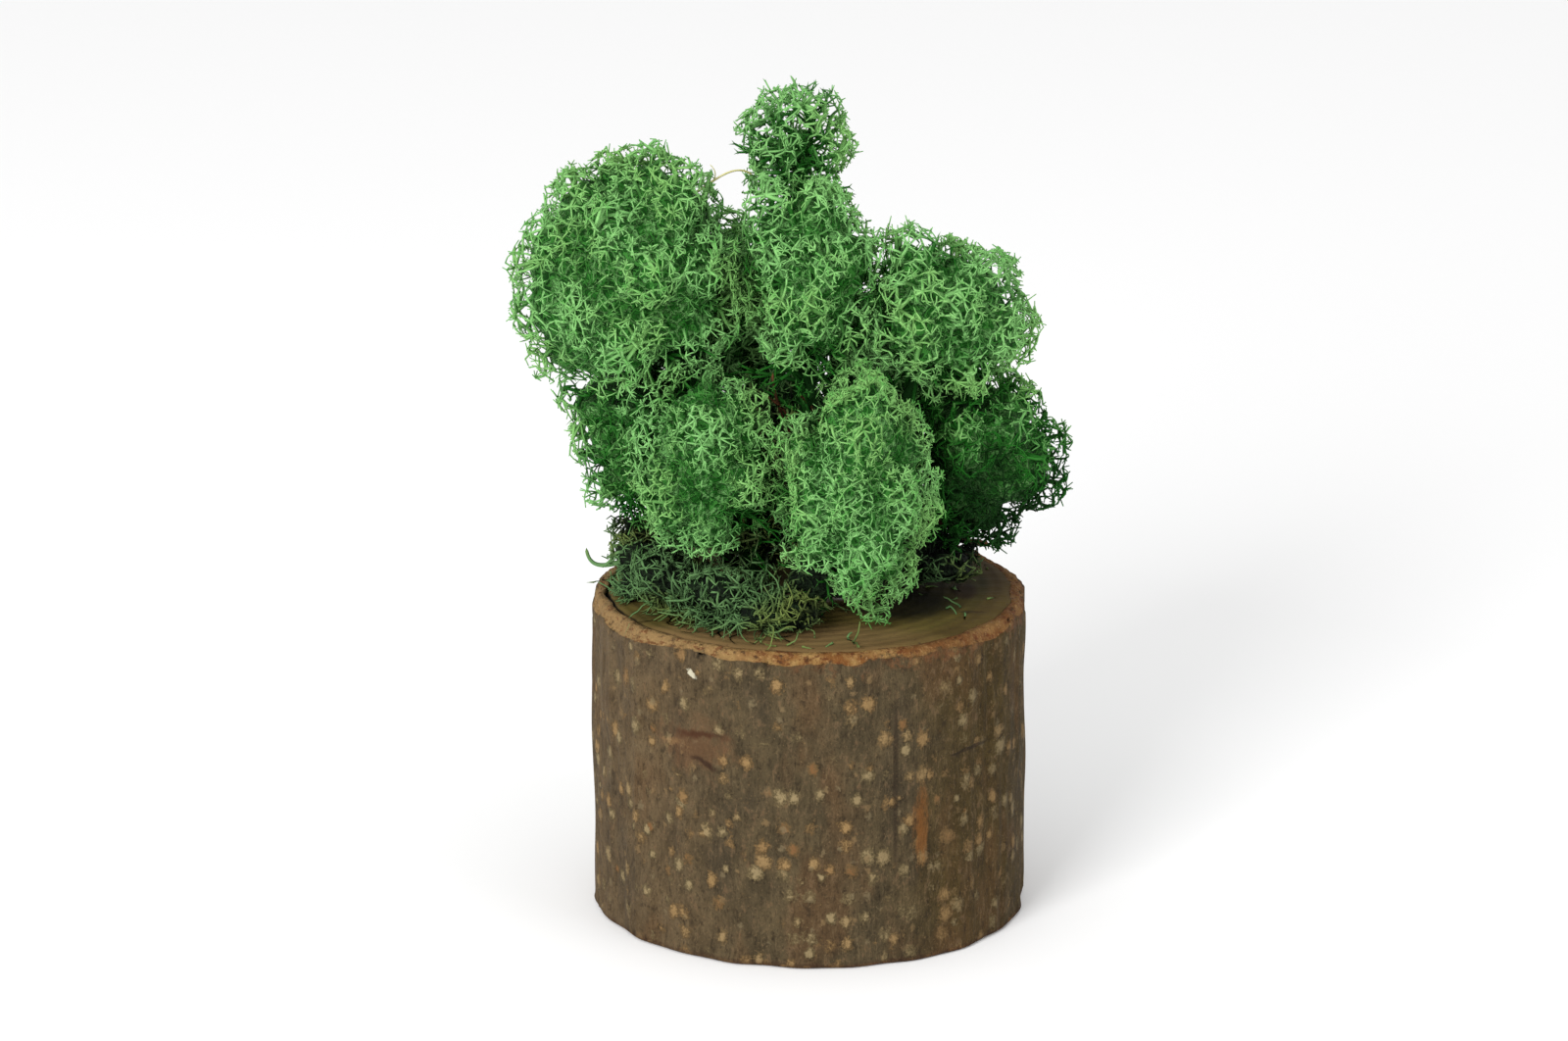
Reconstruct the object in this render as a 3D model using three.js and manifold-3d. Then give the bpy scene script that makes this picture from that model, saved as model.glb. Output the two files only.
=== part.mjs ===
// Reindeer moss clump: eleven rounded heads of green-dyed reindeer lichen and a low dark mat, held by
// a bed of hot-melt glue on top of a sawn log section that still has its bark.
// Millimetres, +Z up. The origin is the middle of the log's sawn foot, and the clump's front faces -Y.
//
// A head grew as one piece: its stalk stands in the glue bed and opens out into a small core, and the
// core carries sprigs that fork three ways, out to a lumpy, rounded surface. Where heads press against
// each other they share the space between them, so no two pieces cross.
import * as THREE from "three";
import { mergeVertices } from "three/addons/utils/BufferGeometryUtils.js";
import Module from "manifold-3d";

const wasm = await Module();
wasm.setup();

// ---------------------------------------------------------------- driving dimensions
const LOG_RADIUS = 28.8;
const LOG_HEIGHT = 44;
const LOG_EDGE = 0.7; // the worn edge of both sawn faces
const LOG_SIDES = 56;
const BARK_RELIEF = 0.28; // how far the bark's upright ridges stand out

const GLUE = { x: -0.5, y: 2, radius: 11.5, height: 3.2, sides: 20 };
const GAP = 0.35; // clear space kept between any two pieces

// Each head: the middle and the half-sizes of its rounded form, where its stalk stands on the log, and
// the bumps that break its outline: the way each one points and its rise as a share of the form.
const HEADS = [
  {
    name: "upper_left", middle: [-22.5, -2, 88.5], half: [13.8, 13.5, 17], foot: [-5, 1],
    bumps: [{ towards: [-1, 0.1, -0.32], rise: 0.34 }, { towards: [-0.55, -0.2, -0.8], rise: 0.12 }],
  },
  {
    name: "top_back", middle: [-2.4, 7, 103.5], half: [7.8, 7.8, 9.2], foot: [0, 4.2],
    bumps: [{ towards: [0.8, 0, 0.35], rise: 0.1 }],
  },
  {
    name: "centre", middle: [0.6, -5, 89], half: [9.4, 9.6, 15], foot: [0, -1],
    bumps: [{ towards: [0.8, -0.1, -0.3], rise: 0.12 }, { towards: [-0.8, -0.3, 0.1], rise: 0.1 }],
  },
  {
    name: "right", middle: [18.6, -3, 84], half: [11.4, 11.3, 12], foot: [4.2, 1],
    bumps: [{ towards: [-0.45, 0, 0.9], rise: 0.12 }, { towards: [0.9, 0.2, -0.1], rise: 0.1 }],
  },
  {
    name: "right_low", middle: [22.8, 1, 62], half: [11, 12, 12.6], foot: [8.2, 3],
    bumps: [{ towards: [0.95, 0, -0.25], rise: 0.14 }],
  },
  {
    name: "front", middle: [6, -17, 63.2], half: [11.2, 10.5, 15.2], foot: [3, -5.2],
    bumps: [{ towards: [-0.7, -0.2, -0.3], rise: 0.1 }, { towards: [0.3, -0.2, 0.9], rise: 0.06 }],
  },
  {
    name: "left_low", middle: [-14, -12, 64.8], half: [9.8, 9.8, 13], foot: [-6.6, -3.4],
    bumps: [{ towards: [0.2, -0.3, 0.9], rise: 0.1 }, { towards: [0.1, -0.2, -0.9], rise: 0.08 }],
  },
  { name: "left_edge", middle: [-22, 0.5, 65.5], half: [10.2, 11, 13.5], foot: [-9.4, 1.2], bumps: [] },
  {
    name: "back_left", middle: [-13, 15, 79], half: [14, 12.5, 15], foot: [-4.2, 6.2],
    bumps: [{ towards: [-0.6, 0.6, 0.3], rise: 0.12 }],
  },
  {
    name: "back_right", middle: [12.5, 15.5, 72], half: [13.5, 12.5, 14], foot: [5.2, 6.4],
    bumps: [{ towards: [0.3, 0.6, 0.6], rise: 0.12 }],
  },
  {
    name: "back_low", middle: [-5, 19.5, 58.5], half: [15, 9.5, 13], foot: [-0.6, 9.4],
    bumps: [{ towards: [-0.9, 0.3, 0], rise: 0.1 }],
  },
];
const DOMES = 9; // small domes raised on every head
const DOME_FLOOR = 0.88; // the form between domes, as a share of its half-sizes
const DOME_RISE = 0.13;
const DOME_SHARPNESS = 7;
const BUMP_SHARPNESS = 11;

const FORK_DROP = 0.4; // a stalk forks this share of the head's half-size short of its middle
const STALK_RADIUS = 1.2;
const STALK_SIDES = 6;
const STALK_STEPS = 3;
const CORE_SHARE = 0.52; // how far the core goes out from the fork to the surface
const NECK_SHARE = 0.62; // where its sprigs have narrowed to twigs, likewise
const FORK_SHARE = 0.86; // where they fork
const TIP_SHARE = 1.06; // and where their tips end
const NECK_RADIUS = 0.75;
const FORK_RADIUS = 0.5;
const FORK_ANGLE = 0.2; // how far a head's tips turn from their sprig, seen from the middle
const PRESSED = 0.8; // a face with less room than this share bears no sprig
const SPLIT_SIZE = 6.2; // a core's faces are split once for each time that its head is this size
const BARE_FOOT = 0.82; // cosine of the cone round the stalk that bears no sprigs

// The mat lies round the front and left of the glue bed; its angles run from +X towards +Y.
const MAT = { ring: 19.3, start: 2.85, end: 4.5, coreRadius: 2.5, sides: 5, steps: 7, sprig: 4.4 };
const MAT_FORK_ANGLE = 0.75;

// A dead twig lies on the log behind the front head; these points lead its middle line.
const TWIG_LINE = [[9.5, 15, 44.95], [17, 16.6, 45.3], [24.5, 15.8, 44.95]];
const TWIG_RADIUS = 0.6;

const MATERIALS = {
  bark: new THREE.MeshStandardMaterial({ color: 0x4a4038, roughness: 0.9, metalness: 0 }),
  moss: new THREE.MeshStandardMaterial({ color: 0x3f9150, roughness: 0.85, metalness: 0 }),
  darkMoss: new THREE.MeshStandardMaterial({ color: 0x24523a, roughness: 0.9, metalness: 0 }),
  twig: new THREE.MeshStandardMaterial({ color: 0x6b3f2a, roughness: 0.85, metalness: 0 }),
  glue: new THREE.MeshStandardMaterial({ color: 0xcfc6a6, roughness: 0.45, metalness: 0 }),
};

// ---------------------------------------------------------------- small helpers
const vec = (x, y, z) => new THREE.Vector3(x, y, z);
const middleOf = (points) =>
  points.reduce((sum, p) => sum.add(p), vec(0, 0, 0)).divideScalar(points.length);

// A repeatable random number from 0 to 1 (mulberry32).
function randomFrom(seed) {
  let state = seed >>> 0;
  return () => {
    state = (state + 0x6d2b79f5) >>> 0;
    let t = state;
    t = Math.imul(t ^ (t >>> 15), t | 1);
    t ^= t + Math.imul(t ^ (t >>> 7), t | 61);
    return ((t ^ (t >>> 14)) >>> 0) / 4294967296;
  };
}

// The i-th of n directions spread evenly over a sphere, turned about Z by phase.
function evenDirection(i, n, phase) {
  const z = 1 - (2 * i + 1) / n;
  const turn = i * Math.PI * (3 - Math.sqrt(5)) + phase;
  const flat = Math.sqrt(1 - z * z);
  return vec(flat * Math.cos(turn), flat * Math.sin(turn), z);
}

function geometryOf(points, faces) {
  const position = Float32Array.from(points.flatMap((p) => [p.x, p.y, p.z]));
  const geometry = new THREE.BufferGeometry();
  geometry.setAttribute("position", new THREE.BufferAttribute(position, 3));
  geometry.setIndex(faces.flat());
  return geometry;
}

// A geometry with each place held once, so that its faces share their corners.
function joined(geometry) {
  const bare = geometry.clone();
  bare.deleteAttribute("normal");
  bare.deleteAttribute("uv");
  return mergeVertices(bare, 1e-4);
}

function solidOf(geometry) {
  const merged = joined(geometry);
  const mesh = new wasm.Mesh({
    numProp: 3,
    vertProperties: merged.attributes.position.array,
    triVerts: new Uint32Array(merged.index.array),
  });
  return new wasm.Manifold(mesh);
}

// The union of the solids, without any scrap that its neighbours left loose.
function fused(solids) {
  const bodies = wasm.Manifold.union(solids).decompose();
  return bodies.reduce((best, body) => (body.volume() > best.volume() ? body : best));
}

function meshOf(name, solid, material) {
  const { vertProperties, triVerts } = solid.getMesh();
  const geometry = new THREE.BufferGeometry();
  geometry.setAttribute("position", new THREE.BufferAttribute(vertProperties, 3));
  geometry.setIndex(new THREE.BufferAttribute(triVerts, 1));
  geometry.computeVertexNormals();
  const mesh = new THREE.Mesh(geometry, material);
  mesh.name = name;
  return mesh;
}

// A round rod along a curve.
function rodGeometry(curve, radius, sides, steps) {
  const section = new THREE.Shape(new THREE.EllipseCurve(0, 0, radius, radius).getPoints(sides).slice(1));
  return new THREE.ExtrudeGeometry(section, { extrudePath: curve, steps });
}

const rod = (curve, radius, sides, steps) => solidOf(rodGeometry(curve, radius, sides, steps));

// A solid turned about an upright line: each profile point is [radius, height].
function turned(profile, sides) {
  const points = profile.map(([radius, height]) => new THREE.Vector2(radius, height));
  return new THREE.LatheGeometry(points, sides).rotateX(Math.PI / 2);
}

// ---------------------------------------------------------------- log section
// How far the trunk stands out from its mean radius: slightly oval, with shallow upright ridges.
function barkRelief(angle, z) {
  const oval = 0.35 * Math.cos(2 * angle + 0.6) + 0.25 * Math.cos(3 * angle + 2);
  const drift = 0.5 * Math.sin(z / 9 + 3 * angle);
  return oval + BARK_RELIEF * Math.sin(17 * angle + drift) * Math.cos(5 * angle - drift);
}

function logSection() {
  const edge = LOG_RADIUS - LOG_EDGE;
  const top = LOG_HEIGHT - LOG_EDGE;
  const geometry = joined(
    turned(
      [
        [0, 0],
        [edge, 0],
        [LOG_RADIUS, LOG_EDGE],
        [LOG_RADIUS, LOG_HEIGHT / 3],
        [LOG_RADIUS, (2 * LOG_HEIGHT) / 3],
        [LOG_RADIUS, top],
        [edge, LOG_HEIGHT],
        [0, LOG_HEIGHT],
      ],
      LOG_SIDES,
    ),
  );
  const position = geometry.getAttribute("position");
  for (let i = 0; i < position.count; i++) {
    const [x, y, z] = [position.getX(i), position.getY(i), position.getZ(i)];
    const radius = Math.hypot(x, y);
    if (radius < 1) continue;
    const share = 1 + barkRelief(Math.atan2(y, x), z) / radius;
    position.setXY(i, x * share, y * share);
  }
  return solidOf(geometry);
}

// ---------------------------------------------------------------- forms and shares of the heads
for (const [i, head] of HEADS.entries()) {
  head.phase = 2.4 * i;
  head.random = randomFrom(101 + i);
  head.middle = vec(...head.middle);
  head.half = vec(...head.half);
  head.mean = (head.half.x + head.half.y + head.half.z) / 3;
  const root = vec(...head.foot, LOG_HEIGHT + 1);
  head.down = root.clone().sub(head.middle).normalize();
  head.fork = head.middle.clone().addScaledVector(head.down, FORK_DROP * head.mean);
  const knee = root.clone().lerp(head.fork, 0.45);
  knee.z += 0.12 * (head.fork.z - root.z);
  head.stalk = new THREE.QuadraticBezierCurve3(root, knee, head.fork);
  head.bumps = head.bumps.map(({ towards, rise }) => ({ way: vec(...towards).normalize(), rise }));
}

// How far p is from a head's middle, as a share of the head's own half-sizes.
const shareOut = (head, p) => p.clone().sub(head.middle).divide(head.half).length();

// The head's surface in a direction from its middle: its rounded form with domes and bumps on it.
function surfacePoint(head, direction) {
  let dome = 0;
  for (let k = 0; k < DOMES; k++) {
    const top = evenDirection(k, DOMES, head.phase);
    dome = Math.max(dome, Math.exp(DOME_SHARPNESS * (direction.dot(top) - 1)));
  }
  let share = DOME_FLOOR + DOME_RISE * dome;
  for (const { way, rise } of head.bumps) {
    share += rise * Math.exp(BUMP_SHARPNESS * (direction.dot(way) - 1));
  }
  return direction.clone().multiply(head.half).multiplyScalar(share).add(head.middle);
}

// Height that the dark mat takes up above the log at x, y, or 0 beside it.
function matHeight(x, y) {
  const angle = (Math.atan2(y, x) + 2 * Math.PI) % (2 * Math.PI);
  const beyond = Math.max(MAT.start - angle, angle - MAT.end, 0) * MAT.ring;
  const beside = Math.abs(Math.hypot(x, y) - MAT.ring);
  const reach = MAT.coreRadius + 1.2 * MAT.sprig;
  return Math.hypot(beyond, beside) < reach ? 2 * MAT.coreRadius + MAT.sprig : 0;
}

// Free distance at p from all that isn't `own`: the other heads' shares of the space, their stalks,
// the log, the glue bed and, for a head, the mat.
function freeSpace(own, p) {
  let floor = LOG_HEIGHT;
  if (Math.hypot(p.x - GLUE.x, p.y - GLUE.y) < GLUE.radius + 1) floor += GLUE.height;
  if (own) floor = Math.max(floor, LOG_HEIGHT + matHeight(p.x, p.y));
  let free = p.z - floor;
  for (const head of HEADS) {
    if (head === own) continue;
    const theirs = shareOut(head, p);
    if (theirs < 1.6) {
      const ours = own ? shareOut(own, p) : 1.12;
      free = Math.min(free, (theirs - ours) / (1 / head.mean + (own ? 1 / own.mean : 0)));
    }
    for (let s = 0; s <= 1; s += 0.05) {
      free = Math.min(free, p.distanceTo(head.stalk.getPoint(s)) - STALK_RADIUS);
    }
  }
  return free;
}

// The share of the way from the head's fork to its surface that stays clear of the other pieces.
function clearShare(head, surface) {
  const steps = 16;
  for (let s = 3; s <= steps; s++) {
    const p = head.fork.clone().lerp(surface, s / steps);
    if (freeSpace(head, p) < GAP + 0.4) return (s - 1) / steps;
  }
  return 1;
}

// ---------------------------------------------------------------- sprigs
// Raises a sprig from the face with these three points, wound anticlockwise seen from its tips. It
// narrows to a twig at its neck, and at its fork it sends a tip out from each of three sides.
function raiseSprig(points, faces, face, neck, fork, tipFor, random) {
  const corners = face.map((i) => points[i]);
  const axis = fork.clone().sub(neck).normalize();
  const across = corners[0].clone().sub(middleOf(corners));
  across.addScaledVector(axis, -across.dot(axis)).normalize();
  const beside = axis.clone().cross(across);
  const sideways = (turn) =>
    across.clone().multiplyScalar(Math.cos(turn)).addScaledVector(beside, Math.sin(turn));
  const turns = [0, 1, 2].map((k) => (2 * Math.PI * k) / 3);
  const ringAt = (middle, radius) =>
    turns.map((turn) => points.push(middle.clone().addScaledVector(sideways(turn), radius)) - 1);
  const rings = [face, ringAt(neck, NECK_RADIUS), ringAt(fork, FORK_RADIUS)];
  const crotch = points.push(fork.clone().addScaledVector(axis, 0.3 * FORK_RADIUS)) - 1;
  for (let k = 0; k < 3; k++) {
    const next = (k + 1) % 3;
    for (const [below, above] of [rings.slice(0, 2), rings.slice(1)]) {
      faces.push([below[k], below[next], above[next]], [below[k], above[next], above[k]]);
    }
    const ring = rings[2];
    const outward = sideways(turns[k] + Math.PI / 3 + 0.5 * (random() - 0.5));
    const tip = points.push(tipFor(outward)) - 1;
    faces.push([ring[k], ring[next], tip], [ring[next], crotch, tip], [crotch, ring[k], tip]);
  }
}

// The way that lies at this angle from way, on the side that outward points to.
function turnedTo(way, outward, angle) {
  const side = outward.clone().addScaledVector(way, -outward.dot(way)).normalize();
  return way.clone().multiplyScalar(Math.cos(angle)).addScaledVector(side, Math.sin(angle));
}

// A closed geometry as a list of points and a list of faces.
function pointsAndFaces(geometry) {
  const { position } = geometry.attributes;
  const points = Array.from({ length: position.count }, (_, i) => vec().fromBufferAttribute(position, i));
  const faces = Array.from({ length: geometry.index.count / 3 }, (_, i) =>
    Array.from(geometry.index.array.slice(3 * i, 3 * i + 3)),
  );
  return [points, faces];
}

// ---------------------------------------------------------------- one head
// The point this share of the way from the head's fork out to its surface, or to its neighbour.
function placeOn(head, way, share) {
  const surface = surfacePoint(head, way);
  return head.fork.clone().lerp(surface, share * clearShare(head, surface));
}

// A ball whose corners lie on the core, with a sprig raised from every face that has room for one.
function mossHead(head) {
  const detail = Math.round(head.mean / SPLIT_SIZE);
  const [ways, ballFaces] = pointsAndFaces(joined(new THREE.OctahedronGeometry(1, detail)));
  const points = ways.map((way) => placeOn(head, way, CORE_SHARE));
  const faces = [];
  for (const face of ballFaces) {
    const way = middleOf(face.map((i) => ways[i])).normalize();
    const surface = surfacePoint(head, way);
    const axis = surface.clone().sub(head.fork).normalize();
    if (axis.dot(head.down) > BARE_FOOT || clearShare(head, surface) < PRESSED) {
      faces.push(face);
      continue;
    }
    const neck = placeOn(head, way, NECK_SHARE);
    const fork = placeOn(head, way, FORK_SHARE - 0.08 * head.random());
    const tipFor = (outward) => {
      const angle = FORK_ANGLE * (0.85 + 0.3 * head.random());
      return placeOn(head, turnedTo(way, outward, angle), TIP_SHARE - 0.08 * head.random());
    };
    raiseSprig(points, faces, face, neck, fork, tipFor, head.random);
  }
  const stalk = rod(head.stalk, STALK_RADIUS, STALK_SIDES, STALK_STEPS);
  return fused([stalk, solidOf(geometryOf(points, faces))]);
}

// ---------------------------------------------------------------- dark mat, glue bed
// A curved roll of matted threads, with a short sprig raised from each face that has room for it.
function darkMat() {
  const random = randomFrom(7);
  const { ring, start, end, coreRadius, sides, steps, sprig } = MAT;
  const height = LOG_HEIGHT + GAP + coreRadius;
  const line = new THREE.CatmullRomCurve3(
    [0, 0.25, 0.5, 0.75, 1].map((share) => {
      const angle = start + (end - start) * share;
      return vec(ring * Math.cos(angle), ring * Math.sin(angle), height);
    }),
  );
  const [points, rollFaces] = pointsAndFaces(joined(rodGeometry(line, coreRadius, sides, steps)));
  const faces = [];
  const isFree = (p) => freeSpace(null, p) > GAP + 0.3;
  for (const face of rollFaces) {
    const [a, b, c] = face.map((i) => points[i]);
    const middle = middleOf([a, b, c]);
    const way = b.clone().sub(a).cross(c.clone().sub(a)).normalize();
    const reach = sprig * (0.7 + 0.6 * random());
    const out = (share) => middle.clone().addScaledVector(way, share * reach);
    const fork = out(0.6);
    if (way.z < -0.2 || !isFree(fork) || !isFree(out(1))) {
      faces.push(face);
      continue;
    }
    const tipFor = (outward) => {
      const tip = fork.clone().addScaledVector(turnedTo(way, outward, MAT_FORK_ANGLE), 0.6 * reach);
      return isFree(tip) ? tip : fork.clone().lerp(tip, 0.4);
    };
    raiseSprig(points, faces, face, out(0.15), fork, tipFor, random);
  }
  return solidOf(geometryOf(points, faces));
}

// The glue bed stands on the log, and a plain hole goes through it round every stalk.
function glueBed() {
  const { radius, height, sides } = GLUE;
  const profile = [[0, 0], [radius, 0], [radius * 0.98, height * 0.5], [radius * 0.7, height], [0, height]];
  const bed = turned(profile, sides).translate(GLUE.x, GLUE.y, LOG_HEIGHT);
  const holes = HEADS.map(({ stalk }) => {
    const along = stalk.getTangent(0);
    const foot = stalk.getPoint(0);
    const from = foot.clone().addScaledVector(along, -GAP);
    const to = foot.clone().addScaledVector(along, 2.5 * height);
    return rod(new THREE.LineCurve3(from, to), STALK_RADIUS + 2 * GAP, STALK_SIDES, 1);
  });
  return solidOf(bed).subtract(wasm.Manifold.union(holes));
}

function dryTwig() {
  return rod(new THREE.QuadraticBezierCurve3(...TWIG_LINE.map((p) => vec(...p))), TWIG_RADIUS, 6, 4);
}

// ---------------------------------------------------------------- the clump
const clump = new THREE.Group();
clump.add(meshOf("log_section", logSection(), MATERIALS.bark));
clump.add(meshOf("glue_bed", glueBed(), MATERIALS.glue));
clump.add(meshOf("moss_mat_dark", darkMat(), MATERIALS.darkMoss));
clump.add(meshOf("dry_twig", dryTwig(), MATERIALS.twig));
for (const head of HEADS) {
  clump.add(meshOf("moss_head_" + head.name, mossHead(head), MATERIALS.moss));
}

export default clump;
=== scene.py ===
# %% [markdown]
# # Reindeer moss clump on a log section
# Reindeer moss is a lichen. It grows as a cushion of hollow twigs that fork again and again, and each
# last fork ends in a little star of points. For decoration it is preserved in glycerine and dyed
# green, and here a handful of it is glued to a sawn piece of branch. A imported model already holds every
# piece's place and size, so it is loaded first and each finer piece is built in the same frame.

import math
import time

import bpy
import numpy as np
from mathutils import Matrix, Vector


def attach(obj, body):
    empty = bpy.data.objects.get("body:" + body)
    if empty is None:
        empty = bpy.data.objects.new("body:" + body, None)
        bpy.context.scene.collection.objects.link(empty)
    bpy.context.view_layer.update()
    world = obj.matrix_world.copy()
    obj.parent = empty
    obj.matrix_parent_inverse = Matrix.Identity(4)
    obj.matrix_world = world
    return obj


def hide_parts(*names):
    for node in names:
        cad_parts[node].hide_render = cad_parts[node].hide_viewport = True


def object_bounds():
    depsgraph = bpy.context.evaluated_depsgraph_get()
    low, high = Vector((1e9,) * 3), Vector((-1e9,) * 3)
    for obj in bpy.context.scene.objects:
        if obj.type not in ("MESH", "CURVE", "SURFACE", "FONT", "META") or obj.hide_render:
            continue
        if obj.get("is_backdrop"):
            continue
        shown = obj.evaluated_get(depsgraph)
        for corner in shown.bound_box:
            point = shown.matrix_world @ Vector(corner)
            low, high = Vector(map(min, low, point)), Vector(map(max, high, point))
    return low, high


started = time.time()
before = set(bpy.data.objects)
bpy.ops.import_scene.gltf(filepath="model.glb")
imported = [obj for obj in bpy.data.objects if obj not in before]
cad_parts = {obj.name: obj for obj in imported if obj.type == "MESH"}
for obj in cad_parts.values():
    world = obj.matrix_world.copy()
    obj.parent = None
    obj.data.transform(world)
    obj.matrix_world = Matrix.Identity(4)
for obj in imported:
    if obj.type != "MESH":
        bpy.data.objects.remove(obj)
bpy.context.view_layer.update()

# %% [markdown]
# # Camera
# The clump is seen from a little above, far enough away that its upright sides look parallel. A long
# lens does that. The camera is placed by three plain numbers: the point it looks at, how high it
# stands above that point as an angle, and its distance.

# %% Camera
MM = 0.001
AIM = np.array([-3.5, 0.0, 53.4]) * MM
CAMERA_RISE = math.radians(18)
CAMERA_DISTANCE = 0.95
FRAME_WIDTH = 0.2101  # metres across the frame at the aim

camera = bpy.data.objects.new("camera", bpy.data.cameras.new("camera"))
bpy.context.collection.objects.link(camera)
camera.location = AIM + CAMERA_DISTANCE * np.array([0, -math.cos(CAMERA_RISE), math.sin(CAMERA_RISE)])
camera.rotation_euler = (math.pi / 2 - CAMERA_RISE, 0, 0)
camera.data.sensor_width = 36
camera.data.lens = 36 * CAMERA_DISTANCE / FRAME_WIDTH
camera.data.clip_start = 0.01
bpy.context.scene.camera = camera
print("lens in mm:", round(camera.data.lens, 1))

# %% [markdown]
# # Light
# Product pictures of plants are taken in a white tent: light comes from everywhere and shadows stay
# soft. A pale world does most of that. One large lamp high on the left gives the heads their round
# shading, and a weaker one on the right keeps that side from going black.

# %% World and lamps
scene = bpy.context.scene
scene.view_settings.view_transform = "Standard"
scene.view_settings.look = "None"
scene.view_settings.exposure = 0.0
scene.view_settings.gamma = 1.0

world = bpy.data.worlds.new("white tent")
world.use_nodes = True
world.node_tree.nodes["Background"].inputs["Color"].default_value = (1.0, 1.0, 1.0, 1)
world.node_tree.nodes["Background"].inputs["Strength"].default_value = 0.9
scene.world = world


def add_lamp(name, place, target, size, power):
    """A square area lamp of this size at place, in metres, turned so that it shines at target."""
    data = bpy.data.lights.new(name, "AREA")
    data.size = size
    data.energy = power
    lamp = bpy.data.objects.new(name, data)
    bpy.context.collection.objects.link(lamp)
    lamp.location = place
    away = lamp.location - type(lamp.location)(target)
    lamp.rotation_euler = away.to_track_quat("Z", "Y").to_euler()


CLUMP_MIDDLE = (0, 0, 0.06)
add_lamp("key lamp", (-0.42, -0.8, 0.5), CLUMP_MIDDLE, size=0.4, power=8)
add_lamp("fill lamp", (0.7, -0.5, 0.35), CLUMP_MIDDLE, size=0.5, power=1.5)

# %% [markdown]
# # Meshes from arrays
# Every piece below is worked out as whole arrays of points and faces, in millimetres. One function
# hands such arrays to Blender. It also stores a few numbers per point, such as how deep in the moss a
# point lies, with painted shade added to it as extra depth, which the materials read later.


# %% Helpers for arrays and meshes
def unit(vectors):
    """Each vector divided by its own length."""
    return vectors / np.maximum(np.linalg.norm(vectors, axis=-1, keepdims=True), 1e-9)


def joined(parts):
    """Several (points, faces, values) parts as one, with each part's face numbers moved on."""
    counts = [len(points) for points, _, _ in parts]
    starts = np.concatenate([[0], np.cumsum(counts)[:-1]])
    return (
        np.concatenate([points for points, _, _ in parts]),
        np.concatenate([faces + start for (_, faces, _), start in zip(parts, starts)]),
        np.concatenate([values for _, _, values in parts]),
    )


def add_mesh(name, points, faces, layers):
    """A mesh object from points in millimetres (n, 3) and faces (m, corners), with point layers."""
    mesh = bpy.data.meshes.new(name)
    mesh.vertices.add(len(points))
    mesh.vertices.foreach_set("co", (points * MM).astype(np.float32).ravel())
    mesh.loops.add(faces.size)
    mesh.loops.foreach_set("vertex_index", faces.astype(np.int32).ravel())
    mesh.polygons.add(len(faces))
    mesh.polygons.foreach_set("loop_start", np.arange(0, faces.size, faces.shape[1], dtype=np.int32))
    mesh.polygons.foreach_set("use_smooth", np.full(len(faces), True))
    for layer, values in layers.items():
        attribute = mesh.attributes.new(layer, "FLOAT", "POINT")
        attribute.data.foreach_set("value", values.astype(np.float32))
    mesh.update(calc_edges=True)
    made = bpy.data.objects.new(name, mesh)
    bpy.context.collection.objects.link(made)
    return made


def grid_faces(rows, around):
    """Two triangles for each cell of a grid that closes round, without those that a pole flattens."""
    low = np.arange(rows - 1)[:, None] * around + np.arange(around)[None]
    low_next = np.arange(rows - 1)[:, None] * around + (np.arange(around)[None] + 1) % around
    high, high_next = low + around, low_next + around
    first, second = np.stack([low, low_next, high_next], -1), np.stack([low, high_next, high], -1)
    return np.concatenate([first[1:].reshape(-1, 3), second[:-1].reshape(-1, 3)])


def level_ways(turn):
    """Level unit vectors at these turns round the upright axis."""
    return np.stack([np.cos(turn), np.sin(turn), 0 * turn], axis=1)


def one_pole(faces, rows, around):
    """All points of the first row become its first point, and all of the last row its first point."""
    last = (rows - 1) * around
    faces = np.where(faces < around, 0, faces)
    return np.where(faces >= last, last, faces)


def without_unused(points, faces, values):
    """The points that some face uses, with the faces' numbers moved down to them."""
    used, numbers = np.unique(faces, return_inverse=True)
    return points[used], numbers.reshape(faces.shape), [v[used] for v in values]


triangles = {}


def add_piece(name, part, material, node=None):
    """A piece from (points, faces, depths), or with a dict of layers in place of the depths. It gets its
    material and the one body, and hides the node that it stands for."""
    points, faces, layers = part
    piece = add_mesh(name, points, faces, layers if isinstance(layers, dict) else {"depth": layers})
    piece.data.materials.append(material)
    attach(piece, "root")
    if node:
        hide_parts(node)
    triangles[name] = len(faces)
    return piece


# %% [markdown]
# # Shader maths in plain expressions
# A node graph is easier to read as a formula. The small class below wraps a socket, so that
# `1 - mask * 0.5` adds the Math nodes for it. Colours are blended with Mix nodes, and one method makes
# any other node from its type, its settings and its inputs.


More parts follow.
